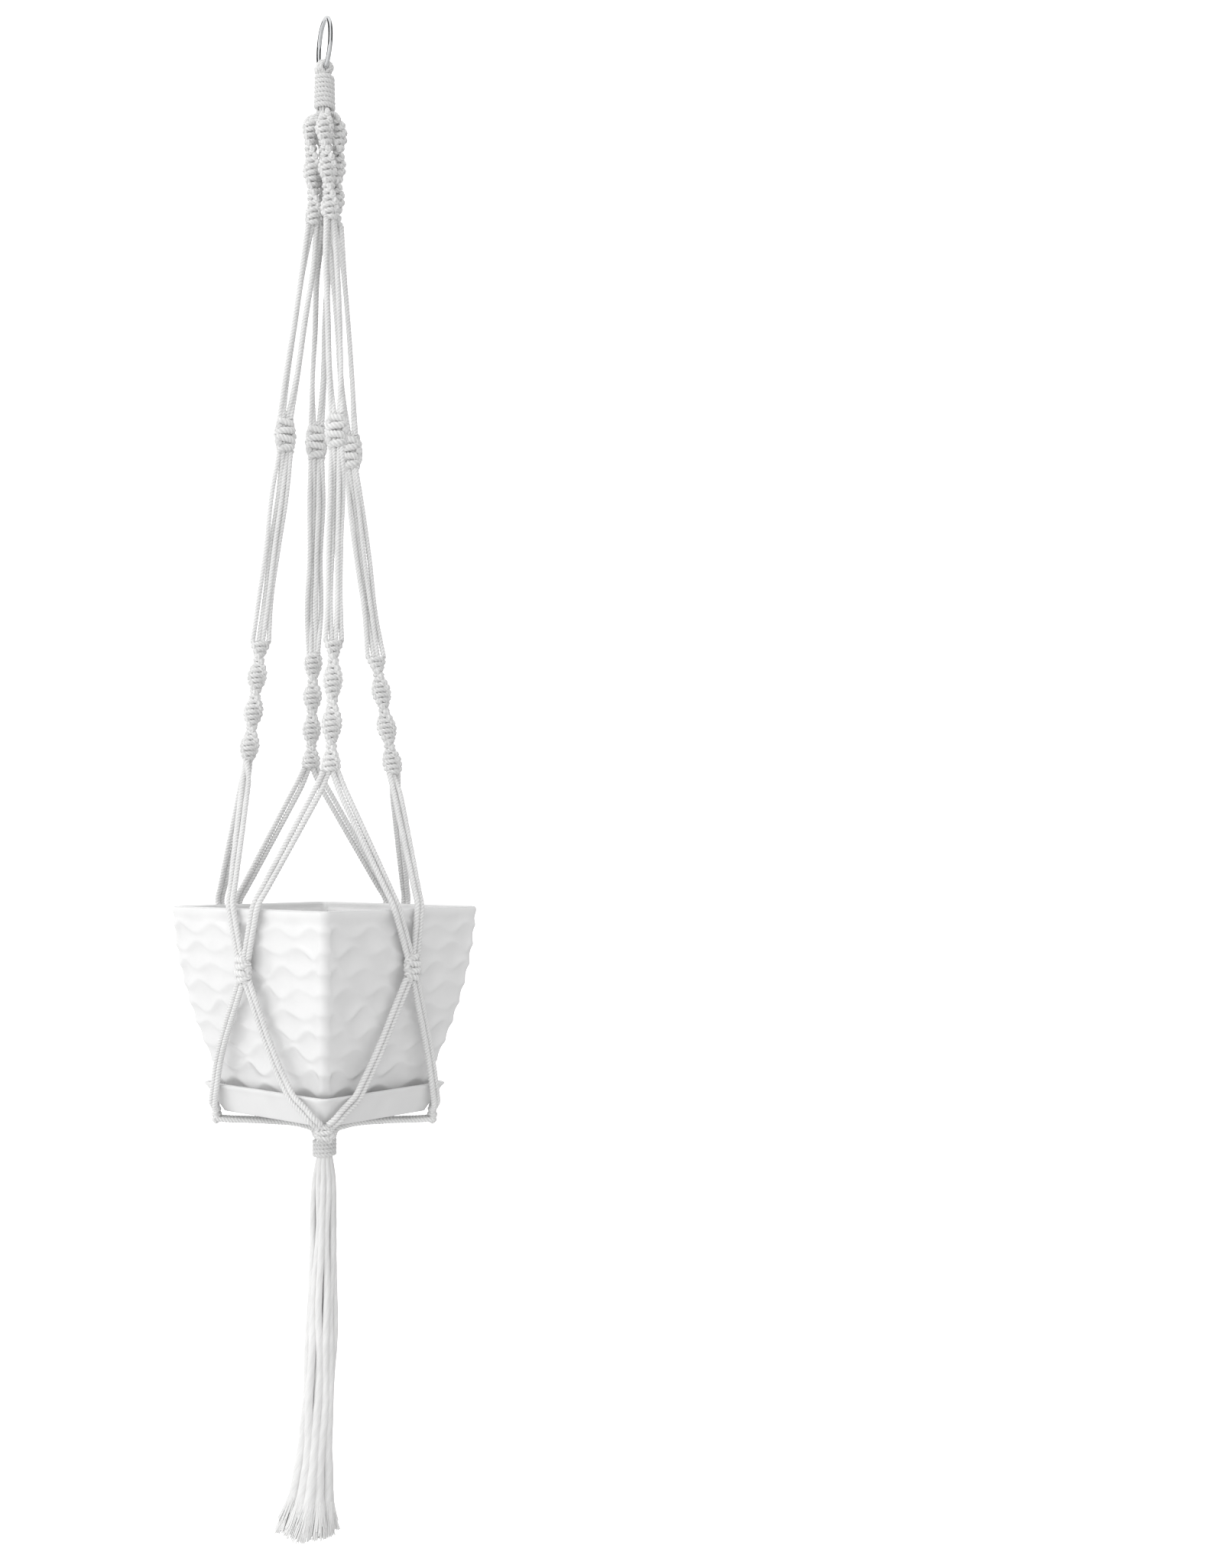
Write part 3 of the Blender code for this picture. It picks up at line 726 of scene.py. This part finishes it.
SPIRAL_KNOTS = 23
SPIRAL_WIDE = 0.0055
SPIRAL_DEEP = 0.0025
PAIRED = (-0.0041, -0.0033, 0.0032, 0.0040)
SIDE_BY_SIDE = (-0.0043, -0.0014, 0.0014, 0.0043)
for arm, place in ARMS.items():
    middle = np.array(place["mid_knot"])
    yaw = place["knot_yaw"]
    knot_across = X_WAY * cos(yaw) + Y_WAY * sin(yaw)
    knot_ahead = X_WAY * sin(yaw) - Y_WAY * cos(yaw)
    knot = square_knot(
        middle, knot_across, knot_ahead,
        MID_KNOT_HEIGHT, MID_KNOT_WIDE, MID_KNOT_DEEP, MID_KNOT_CROSSINGS,
    )
    run = loose_run(rope_ends[arm], [line[0] for line in knot], PAIRED, 0.0036, 0.0003)
    cords(arm + "_upper_strands", run, "cradle", ["upper_strands_" + arm])
    cords(
        arm + "_middle_knot", [eased(line, 1) for line in knot], "cradle", ["mid_knot_" + arm],
        Thickness=MID_KNOT_CORD, Step=FINE_STEP,
    )

    # The lower spiral: half knots again, a long row, which makes nearly two full turns on its way down.
    spine = through([place["spiral_head"], place["spiral_foot"]], FINE_LINE)
    first_waist, half_turn = place["spiral_waist"]
    spiral_length = place["spiral_head"][2] - place["spiral_foot"][2]
    turn_each = pi * spiral_length / half_turn / SPIRAL_KNOTS
    first = pi * (0.5 - first_waist / half_turn)
    spiral = half_knots(spine, SPIRAL_KNOTS, SPIRAL_WIDE, SPIRAL_DEEP, first, turn_each)
    knot_ends = [line[-1] for line in knot]
    run = loose_run(knot_ends, [line[0] for line in spiral], SIDE_BY_SIDE, 0.0022, 0.0005)
    cords(arm + "_lower_strands", run, "cradle", ["lower_strands_" + arm])
    rope_ends[arm] = [line[-1] for line in spiral]
    cords(
        arm + "_lower_spiral", [eased(line, 1) for line in spiral], "cradle",
        ["lower_spiral_" + arm], Step=FINE_STEP,
    )


# The net: under each spiral the four cords part in two pairs, which lie down the two sides of the pot
# nearest to that arm. On each side, two pairs from neighbouring arms meet in a square knot and part again.
POT_RIM_HALF = 0.0750
POT_RIM_Z = -0.6024
SAUCER_TOP_HALF = 0.0598
SAUCER_TOP_Z = -0.7220
SIDE_KNOT_OUT = 0.0775
SIDE_KNOT_HEIGHT = 0.0170
SIDE_KNOT_WIDE = 0.0046
SIDE_KNOT_DEEP = 0.0024
SIDE_KNOT_CROSSINGS = 4
SIDE_KNOT_CORD = 0.0042
PAIR_SPREAD = 0.0030
NET_CORD = 0.0038
PAIR_APART = 0.0041
EDGE_CROSSING = {"left": 0.0385, "right": 0.0385, "front": 0.0265, "back": 0.0265}
CORNER_CROSSING = 0.0472
FACES = {
    "front_left": {"normal": (-1, -1), "along": (1, -1), "knot_side": 0.0028, "knot_z": -0.6420,
                   "rim_side": {"left": -0.0080, "front": 0.0165}},
    "front_right": {"normal": (1, -1), "along": (-1, -1), "knot_side": -0.0036, "knot_z": -0.6405,
                    "rim_side": {"right": -0.0090, "front": 0.0145}},
    "back_left": {"normal": (-1, 1), "along": (1, 1), "knot_side": -0.0170, "knot_z": -0.6420,
                  "rim_side": {"left": -0.0260, "back": -0.0080}},
    "back_right": {"normal": (1, 1), "along": (-1, 1), "knot_side": 0.0050, "knot_z": -0.6410,
                   "rim_side": {"right": -0.0040, "back": 0.0145}},
}


def face_ways(face):
    """The unit vectors squarely out from a side of the pot, and level along it."""
    normal = np.array([*face["normal"], 0.0]) / 2 ** 0.5
    along = np.array([*face["along"], 0.0]) / 2 ** 0.5
    return normal, along


def on_face(face, out, side, z):
    normal, along = face_ways(face)
    return normal * out + along * side + UP * z


def pair(way, normal, apart, first_ends=None, last_ends=None, free_until=None):
    """Two cords side by side along a way, flat on the side that the normal stands on. Down to the height
    free_until they hang free, and there they turn from lying side by side towards the front or back."""
    line = through(way)
    run = np.gradient(line, axis=0)
    facing = np.tile(normal, (len(line), 1))
    if free_until is not None:
        free = np.clip((line[:, 2] - free_until) / (line[0, 2] - free_until), 0, 1)[:, None]
        facing = facing * (1 - free) + Y_WAY * np.sign(normal[1]) * free
    beside = np.cross(run, facing)
    beside /= np.linalg.norm(beside, axis=1)[:, None]
    made = []
    for k, half in enumerate((-0.5, 0.5)):
        cord = line + beside * apart * half
        if first_ends is not None:
            fade = np.clip(1 - np.arange(len(line)) / 14, 0, 1)[:, None] ** 2
            cord = cord + (first_ends[k] - cord[0]) * fade
        if last_ends is not None:
            fade = np.clip(1 - np.arange(len(line))[::-1] / 10, 0, 1)[:, None] ** 2
            cord = cord + (last_ends[k] - cord[-1]) * fade
        made.append(cord)
    return made


for name, face in FACES.items():
    normal, along = face_ways(face)
    side, z = face["knot_side"], face["knot_z"]
    middle = on_face(face, SIDE_KNOT_OUT, side, z)
    knot = square_knot(
        middle, along, normal,
        SIDE_KNOT_HEIGHT, SIDE_KNOT_WIDE, SIDE_KNOT_DEEP, SIDE_KNOT_CROSSINGS,
    )
    cords(
        name + "_knot", [eased(line, 1) for line in knot], "cradle", ["side_knot_" + name],
        Thickness=SIDE_KNOT_CORD, Step=FINE_STEP,
    )
    for arm, rim_side in face["rim_side"].items():
        towards = -1 if arm in ("left", "right") else 1
        out, level = out_of(arm)
        apart = normal - out * normal.dot(out)
        apart /= np.linalg.norm(apart)
        foot = np.array(ARMS[arm]["spiral_foot"])
        start = foot + apart * PAIR_SPREAD - UP * 0.0024
        rim = on_face(face, POT_RIM_HALF + 0.0034, rim_side, POT_RIM_Z + 0.0035)
        knot_top = on_face(
            face, SIDE_KNOT_OUT - 0.0002, side + towards * PAIR_SPREAD, z + SIDE_KNOT_HEIGHT / 2 - 0.001
        )
        below_rim = rim * 0.65 + knot_top * 0.35 + normal * 0.0004
        way = [start, start * 0.1 + rim * 0.9, rim, below_rim, knot_top]
        ends = sorted(rope_ends[arm], key=lambda p: -p.dot(apart))[:2]
        run = through(way)[:3]
        across = np.cross(run[1] - run[0], Y_WAY * np.sign(normal[1]))
        ends = sorted(ends, key=lambda p: p.dot(across))
        lines = pair(way, normal, PAIR_APART, first_ends=ends, free_until=POT_RIM_Z)
        node_name = "upper_net_%s_arm_%s" % (arm, name)
        cords("%s_pair_%s" % (arm, name), lines, "cradle", [node_name], Thickness=NET_CORD)

        knot_foot = on_face(
            face, SIDE_KNOT_OUT - 0.0008, side + towards * PAIR_SPREAD, z - SIDE_KNOT_HEIGHT / 2 + 0.001
        )
        over_edge = EDGE_CROSSING[arm]
        under_edge = 0.65 * over_edge + 0.35 * CORNER_CROSSING
        near_corner = 0.20 * over_edge + 0.80 * CORNER_CROSSING
        way = [
            knot_foot,
            on_face(face, SAUCER_TOP_HALF + 0.0040, towards * over_edge, SAUCER_TOP_Z + 0.0090),
            on_face(face, SAUCER_TOP_HALF + 0.0031, towards * under_edge, SAUCER_TOP_Z - 0.0015),
            on_face(face, SAUCER_TOP_HALF + 0.0008, towards * near_corner, SAUCER_TOP_Z - 0.0095),
            on_face(face, SAUCER_TOP_HALF - 0.0003, towards * CORNER_CROSSING, SAUCER_TOP_Z - 0.0136),
            out * 0.0742 + apart * 0.0035 + UP * -0.7402,
        ]
        lines = pair(way, normal, PAIR_APART)
        node_name = "lower_net_%s_to_%s" % (name, arm)
        cords("%s_%s_pair" % (name, arm), lines, "cradle", [node_name], Thickness=NET_CORD)


# The corner knots: under each corner of the saucer the pairs from two sides are tied together, and their
# four cords run in flat under the saucer to the middle, where all sixteen turn down.
CORNER_KNOT_OUT = 0.0735
CORNER_KNOT_Z = -0.7445
CORNER_KNOT_HEIGHT = 0.0105
CORNER_KNOT_WIDE = 0.0042
CORNER_KNOT_DEEP = 0.0016
CORNER_KNOT_CROSSINGS = 3
BASE_CORD_APART = 0.0034
BASE_WAY = ((0.0742, -0.7470), (0.0700, -0.7474), (0.0400, -0.7488),
            (0.0150, -0.7518), (0.0074, -0.7545), (0.0052, -0.7590))
for arm in ARMS:
    out, level = out_of(arm)
    middle = out * CORNER_KNOT_OUT + UP * CORNER_KNOT_Z
    knot = square_knot(
        middle, level, out,
        CORNER_KNOT_HEIGHT, CORNER_KNOT_WIDE, CORNER_KNOT_DEEP, CORNER_KNOT_CROSSINGS,
    )
    cords(
        arm + "_corner_knot", [eased(line, 1) for line in knot], "cradle",
        ["corner_knot_" + arm], Step=FINE_STEP,
    )
    line = through([out * away + UP * z for away, z in BASE_WAY])
    lines = []
    share = np.linspace(0, 1, len(line))[:, None]
    for k in range(4):
        spread = level * (k - 1.5) * BASE_CORD_APART * (1 - 0.62 * share ** 3)
        stack = (UP * 0.0006 - out * 0.0012) * (k % 2 * 2 - 1) * share ** 6
        lines.append(line + spread + stack)
    cords(arm + "_base_cords", lines, "cradle", ["base_cords_" + arm])


# The pot: glazed stoneware cast with a relief like fish scales all over its four sides, under a plain
# band at the rim. Each scale is dished, with a soft ridge round its lower edge, and each row is half
# shifted. The ridges wander and the dishes vary in depth a little, as if they were pressed by hand.
POT_HEIGHT = 0.1353
POT_TAPER = 0.0297
POT_TAPER_POWER = 1.8
POT_WALL = 0.0040
POT_FLOOR = 0.0050
POT_LIP = 0.0018
CORNER_RADIUS = 0.0060
PLAIN_BAND = 0.0035
SCALE_WIDTH = 0.0320
SCALE_ROW = 0.0132
SCALE_ARC = 0.0033
SCALE_DEPTH = 0.0019
SCALE_ROWS = 12
CORNER_FADE = 0.012
BAND_FADE = 0.005
HAND_WANDER = 0.0009
ARC_UNEVEN = 0.22
DEPTH_UNEVEN = 0.13
DEPTH_SHARE = 0.92


def pot_half(depth):
    """Half the pot's width at a depth below its rim."""
    return POT_RIM_HALF - POT_TAPER * (depth / POT_HEIGHT) ** POT_TAPER_POWER


def square_outline(half, corner, flat_steps, arc_steps):
    """Points, outward directions and places along the side of a rounded square, a corner to each arm."""
    points, outward, along = [], [], []
    for quarter in range(4):
        turn = quarter * pi / 2 + pi / 4
        rotate = np.array([[cos(turn), -sin(turn)], [sin(turn), cos(turn)]])
        for k in range(arc_steps + 1):
            angle = k * pi / 2 / arc_steps
            way = np.array([cos(angle), sin(angle)])
            points.append(rotate @ (np.array([half - corner, half - corner]) + way * corner))
            outward.append(rotate @ way)
            along.append(half * (1 if angle > pi / 4 else -1))
        for k in range(1, flat_steps):
            x = (half - corner) * (1 - 2 * k / flat_steps)
            points.append(rotate @ np.array([x, half]))
            outward.append(rotate @ np.array([0.0, 1.0]))
            along.append(x)
    return np.array(points), np.array(outward), np.array(along)


def scale_relief(along, depth):
    """How far the glaze lies back from the pot's outline at a place along a side and a depth."""
    off_corner = np.clip((pot_half(depth) - np.abs(along)) / CORNER_FADE, 0, 1)
    uneven = off_corner * (np.sin(along * 97 + depth * 61) + np.sin(along * 43 - depth * 133 + 2.0))
    arc = SCALE_ARC * (1 + ARC_UNEVEN * uneven) * (3 - 2 * off_corner) * off_corner ** 2
    depth = depth + HAND_WANDER * off_corner * np.sin(along * 71 + depth * 88 + 1.0)
    along = along + 2.2 * HAND_WANDER * off_corner * np.sin(depth * 154 - along * 52)
    ridges = [
        row * SCALE_ROW + arc * np.cos(2 * pi * along / SCALE_WIDTH + pi * row)
        for row in range(-1, SCALE_ROWS)
    ]
    lie = np.zeros(len(along))
    for upper, lower in zip(ridges, ridges[1:]):
        share = np.clip((depth - upper) / (lower - upper), 0, 1)
        deep = ((lower - upper) / (SCALE_ROW + 2 * SCALE_ARC)) ** 0.8
        dish = np.sin(pi * share ** 0.8)
        lie += deep * dish ** 2 / (0.25 + dish) * 1.25
    fade_in = np.clip((depth - PLAIN_BAND) / BAND_FADE, 0, 1)
    return lie * SCALE_DEPTH * (DEPTH_SHARE + DEPTH_UNEVEN * uneven) * fade_in


FLAT_STEPS = 84
ARC_STEPS = 10
rings = []
floor_depth = POT_HEIGHT - POT_FLOOR
inner_corner = CORNER_RADIUS - 0.0025
for k in range(21):
    depth = floor_depth + (POT_LIP - floor_depth) * k / 20
    points, _, _ = square_outline(pot_half(depth) - POT_WALL, inner_corner, FLAT_STEPS, ARC_STEPS)
    rings.append([spot(p, POT_RIM_Z - depth) for p in points])
for k in range(9):
    turn = pi * k / 8
    lip_half = POT_WALL / 2
    half = pot_half(0) - lip_half - lip_half * cos(turn) * 0.98
    corner = inner_corner + (CORNER_RADIUS - inner_corner) * (1 - cos(turn)) / 2
    points, _, _ = square_outline(half, corner, FLAT_STEPS, ARC_STEPS)
    rings.append([spot(p, POT_RIM_Z - POT_LIP + POT_LIP * sin(turn)) for p in points])
OUTER_ROWS = 116
for k in range(1, OUTER_ROWS + 1):
    depth = POT_LIP + (POT_HEIGHT - POT_LIP) * k / OUTER_ROWS
    points, outward, along = square_outline(pot_half(depth), CORNER_RADIUS, FLAT_STEPS, ARC_STEPS)
    lie = scale_relief(along, depth)[:, None]
    rings.append([spot(p, POT_RIM_Z - depth) for p in points - outward * lie])
pot_mesh = closed_grid("glazed_pot", rings)


def glaze(name, colour_low, colour_high, dimple):
    """A white gloss glaze, a little uneven in thickness and tone, with its clear coat over it."""
    material, tree, surface = shaded(
        name, Roughness=0.35, Coat_Weight=1.0, Coat_Roughness=0.06, Coat_IOR=1.5
    )
    place = node(tree, "ShaderNodeTexCoord")
    pooled = node(
        tree, "ShaderNodeTexNoise", {"Vector": place.outputs["Object"], "Scale": 60.0, "Detail": 2.0}
    )
    colour = node(tree, "ShaderNodeValToRGB", {"Fac": pooled.outputs["Fac"]})
    colour.color_ramp.elements[0].position = 0.3
    colour.color_ramp.elements[0].color = (*colour_low, 1)
    colour.color_ramp.elements[1].position = 0.7
    colour.color_ramp.elements[1].color = (*colour_high, 1)
    ripple = node(
        tree, "ShaderNodeTexNoise", {"Vector": place.outputs["Object"], "Scale": 170.0, "Detail": 1.0}
    )
    bump = node(
        tree, "ShaderNodeBump", {"Strength": dimple, "Distance": 0.0006, "Height": ripple.outputs["Fac"]}
    )
    rough = node(
        tree, "ShaderNodeMapRange", {"Value": pooled.outputs["Fac"], "To Min": 0.28, "To Max": 0.42}
    )
    tree.links.new(colour.outputs["Color"], surface.inputs["Base Color"])
    tree.links.new(rough.outputs["Result"], surface.inputs["Roughness"])
    tree.links.new(bump.outputs["Normal"], surface.inputs["Normal"])
    return material


pot_mesh.materials.append(glaze("pot_glaze", (0.81, 0.81, 0.81), (0.85, 0.85, 0.85), 0.35))
pot_piece = add_piece("glazed_pot", pot_mesh)
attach(pot_piece, "pot")
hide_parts("square_pot")


# The saucer: a plain square dish in the same glaze, flared a little, which stands under the pot's base.
SAUCER_FOOT_HALF = 0.0498
SAUCER_FOOT_Z = -0.7420
SAUCER_WALL = 0.0040


def saucer_half(z):
    """Half the saucer's width at a height."""
    share = (z - SAUCER_FOOT_Z) / (SAUCER_TOP_Z - SAUCER_FOOT_Z)
    return SAUCER_FOOT_HALF + (SAUCER_TOP_HALF - SAUCER_FOOT_HALF) * share


saucer_floor = SAUCER_FOOT_Z + SAUCER_WALL
saucer_rows = []
for k in range(4):
    turn = k / 3 * pi / 2
    saucer_rows.append((saucer_half(saucer_floor) - SAUCER_WALL - 0.003 * (1 - sin(turn)), 0.0035,
                        saucer_floor + 0.003 * (1 - cos(turn))))
for k in range(9):
    turn = pi * k / 8
    share = (1 - cos(turn)) / 2
    saucer_rows.append((SAUCER_TOP_HALF - SAUCER_WALL + SAUCER_WALL * share, 0.0035 + 0.0025 * share,
                        SAUCER_TOP_Z - 0.0012 + 0.0012 * sin(turn)))
for k in range(1, 9):
    z = SAUCER_TOP_Z - 0.0012 + (SAUCER_FOOT_Z + 0.0024 - SAUCER_TOP_Z) * k / 8
    saucer_rows.append((saucer_half(z), CORNER_RADIUS, z))
for k in range(1, 6):
    turn = k / 5 * pi / 2
    saucer_rows.append((SAUCER_FOOT_HALF + 0.0004 - 0.0016 * (1 - cos(turn)), CORNER_RADIUS - 0.0008,
                        SAUCER_FOOT_Z + 0.0012 * (1 - sin(turn))))
rings = []
for half, corner, z in saucer_rows:
    points, _, _ = square_outline(half, corner, 30, ARC_STEPS)
    rings.append([spot(p, z) for p in points])
saucer_mesh = closed_grid("glazed_saucer", rings)
saucer_mesh.materials.append(glaze("saucer_glaze", (0.80, 0.80, 0.80), (0.84, 0.84, 0.84), 0.20))
saucer_piece = add_piece("glazed_saucer", saucer_mesh)
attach(saucer_piece, "cradle")
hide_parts("square_saucer")


# The gather: under the saucer all sixteen cords turn down through the bottom wrap, five tight turns of
# one more cord, which holds the whole net together below the pot.
BOTTOM_WRAP_TOP = -0.7602
BOTTOM_WRAP_FOOT = -0.7745
BOTTOM_WRAP_TURNS = 5
BOTTOM_COIL_RADIUS = 0.0068
BOTTOM_WRAP_CORD = 0.0032
BOTTOM_COIL_START = 2.6
half_cord = BOTTOM_WRAP_CORD / 2
bottom_coil = wound(
    BOTTOM_WRAP_TOP - half_cord, BOTTOM_WRAP_FOOT + half_cord, BOTTOM_WRAP_TURNS - 1,
    BOTTOM_COIL_RADIUS, BOTTOM_COIL_RADIUS, BOTTOM_COIL_START, 1,
)
cords(
    "bottom_wrap_coils", [bottom_coil], "cradle", ["bottom_wrap"], "wrap_cord",
    Thickness=BOTTOM_WRAP_CORD, Step=FINE_STEP,
)


def bundle_place(k, spread):
    """Where cord k of sixteen stands in a round bundle: five in the middle and eleven round them."""
    if k < 5:
        turn, share = 2 * pi * k / 5 + 0.3, 0.38
    else:
        turn, share = 2 * pi * (k - 5) / 11, 1.0
    return np.array([cos(turn), sin(turn), 0.0]) * spread * share


GATHER_RADIUS = 0.0040
GATHER_HEAD_RADIUS = 0.0046
GATHERED_SHARE = 0.74
gathered = []
for k in range(16):
    way = [
        bundle_place(k, GATHER_HEAD_RADIUS) + UP * (BOTTOM_WRAP_TOP + 0.0036),
        bundle_place(k, GATHER_RADIUS) + UP * BOTTOM_WRAP_TOP,
        bundle_place(k, GATHER_RADIUS) + UP * (BOTTOM_WRAP_FOOT + 0.0004),
    ]
    gathered.append(through(way))
gathered_fats = [np.full(len(line), GATHERED_SHARE) for line in gathered]
cords("gathered_cords", gathered, "cradle", ["gather_core"], fats=gathered_fats)


# The tassel: the sixteen cords' own ends, which hang free for about a quarter of a metre. The twist
# works out of them towards the ends, so that they swell, and the very ends are combed to fringe.
TAIL_CORD = 0.0042
TAIL_LAY = 0.045
TAIL_GROOVE = 0.02
TASSEL_TOP = -0.7728
TASSEL_FOOT = -1.0260
TASSEL_LEAN = -0.0100
TASSEL_SPREAD = ((-0.7728, 0.0038), (-0.7765, 0.0046), (-0.7900, 0.0066), (-0.8500, 0.0078),
                 (-0.9180, 0.0074), (-0.9700, 0.0086), (-1.0050, 0.0120), (-1.0370, 0.0175))
TAIL_SHARES = ((0.0, 0.78), (0.03, 0.88), (0.25, 1.06), (0.60, 1.24),
               (0.85, 1.55), (0.93, 1.75), (1.0, 2.0))
TAIL_STRAY = 0.0011
FRINGE_LENGTH = 0.017
FRINGE_FIBRES = 130
FRINGE_THICKNESS = 0.0008
FRINGE_STEP = 0.0035
combed = cotton_finish("combed_cotton", 0.62, 0.94, 25.0, 7.0, 0.45)
fringed = cotton_finish("fringe_cotton", 0.80, 0.97, 6.0, 3.0, 0.0)
chance = np.random.default_rng(23)


def tassel_place(k, z):
    """Where tail k runs at a height, between the wrap and the tassel's foot."""
    heights, spreads = zip(*TASSEL_SPREAD)
    spread = np.interp(-z, [-h for h in heights], spreads)
    fall = (TASSEL_TOP - z) / (TASSEL_TOP - TASSEL_FOOT)
    return bundle_place(k, spread) + np.array([TASSEL_LEAN * fall ** 2, 0.0, z])


for k in range(16):
    phase = chance.uniform(0, 2 * pi, 4)
    foot = TASSEL_FOOT + 0.0105 + chance.uniform(-0.003, 0.003)
    way = []
    for z in np.linspace(TASSEL_TOP, foot, 22):
        fall = (TASSEL_TOP - z) / (TASSEL_TOP - TASSEL_FOOT)
        loose = TAIL_STRAY * min(fall * 5, 1)
        sway = np.array([sin(z * 33 + phase[0]) + 0.4 * sin(z * 80 + phase[1]),
                         sin(z * 37 + phase[2]) + 0.4 * sin(z * 75 + phase[3]), 0.0])
        way.append(tassel_place(k, z) + sway * loose)
    line = through(way)
    share_at, shares = zip(*TAIL_SHARES)
    fats = np.interp(np.linspace(0, 1, len(line)), share_at, shares)
    node_names = ["tassel_tail_" + list(ARMS)[k]] if k < 4 else []
    tail = cords(
        "tassel_cord_%02d" % k, [line], ("cradle", "tassel"), node_names, fats=[fats],
        finish=combed, Thickness=TAIL_CORD, Lay=TAIL_LAY, Groove=TAIL_GROOVE, Sides=18,
    )
    drop = line[-1] - line[-9]
    drop /= np.linalg.norm(drop)
    fibres = []
    for _ in range(FRINGE_FIBRES):
        turn = chance.uniform(0, 2 * pi)
        back = chance.uniform(0, 9) if chance.uniform() < 0.6 else 0
        near = line[-1 - int(back)]
        reach = fats[-1 - int(back)] * TAIL_CORD / 2
        reach *= 0.97 if back else chance.uniform(0, 1) ** 0.5
        outward = np.array([cos(turn), sin(turn), 0.0])
        tip = near + drop * FRINGE_LENGTH * chance.uniform(0.70, 1.0) + outward * reach * 1.5
        tip += np.array([-0.0012, 0.0, 0.0]) + chance.normal(0, 0.0004, 3)
        tip[2] = max(tip[2], TASSEL_FOOT - 0.0015)
        root = near + outward * reach - drop * 0.001
        fibres.append(through([root, root * 0.5 + tip * 0.5 - outward * reach * 0.1, tip], 0.004))
    fringe = cords(
        "tassel_fringe_%02d" % k, fibres, "tassel", finish=fringed,
        Thickness=FRINGE_THICKNESS, Lay=1.0, Groove=0.0, Sides=5, Step=FRINGE_STEP,
    )
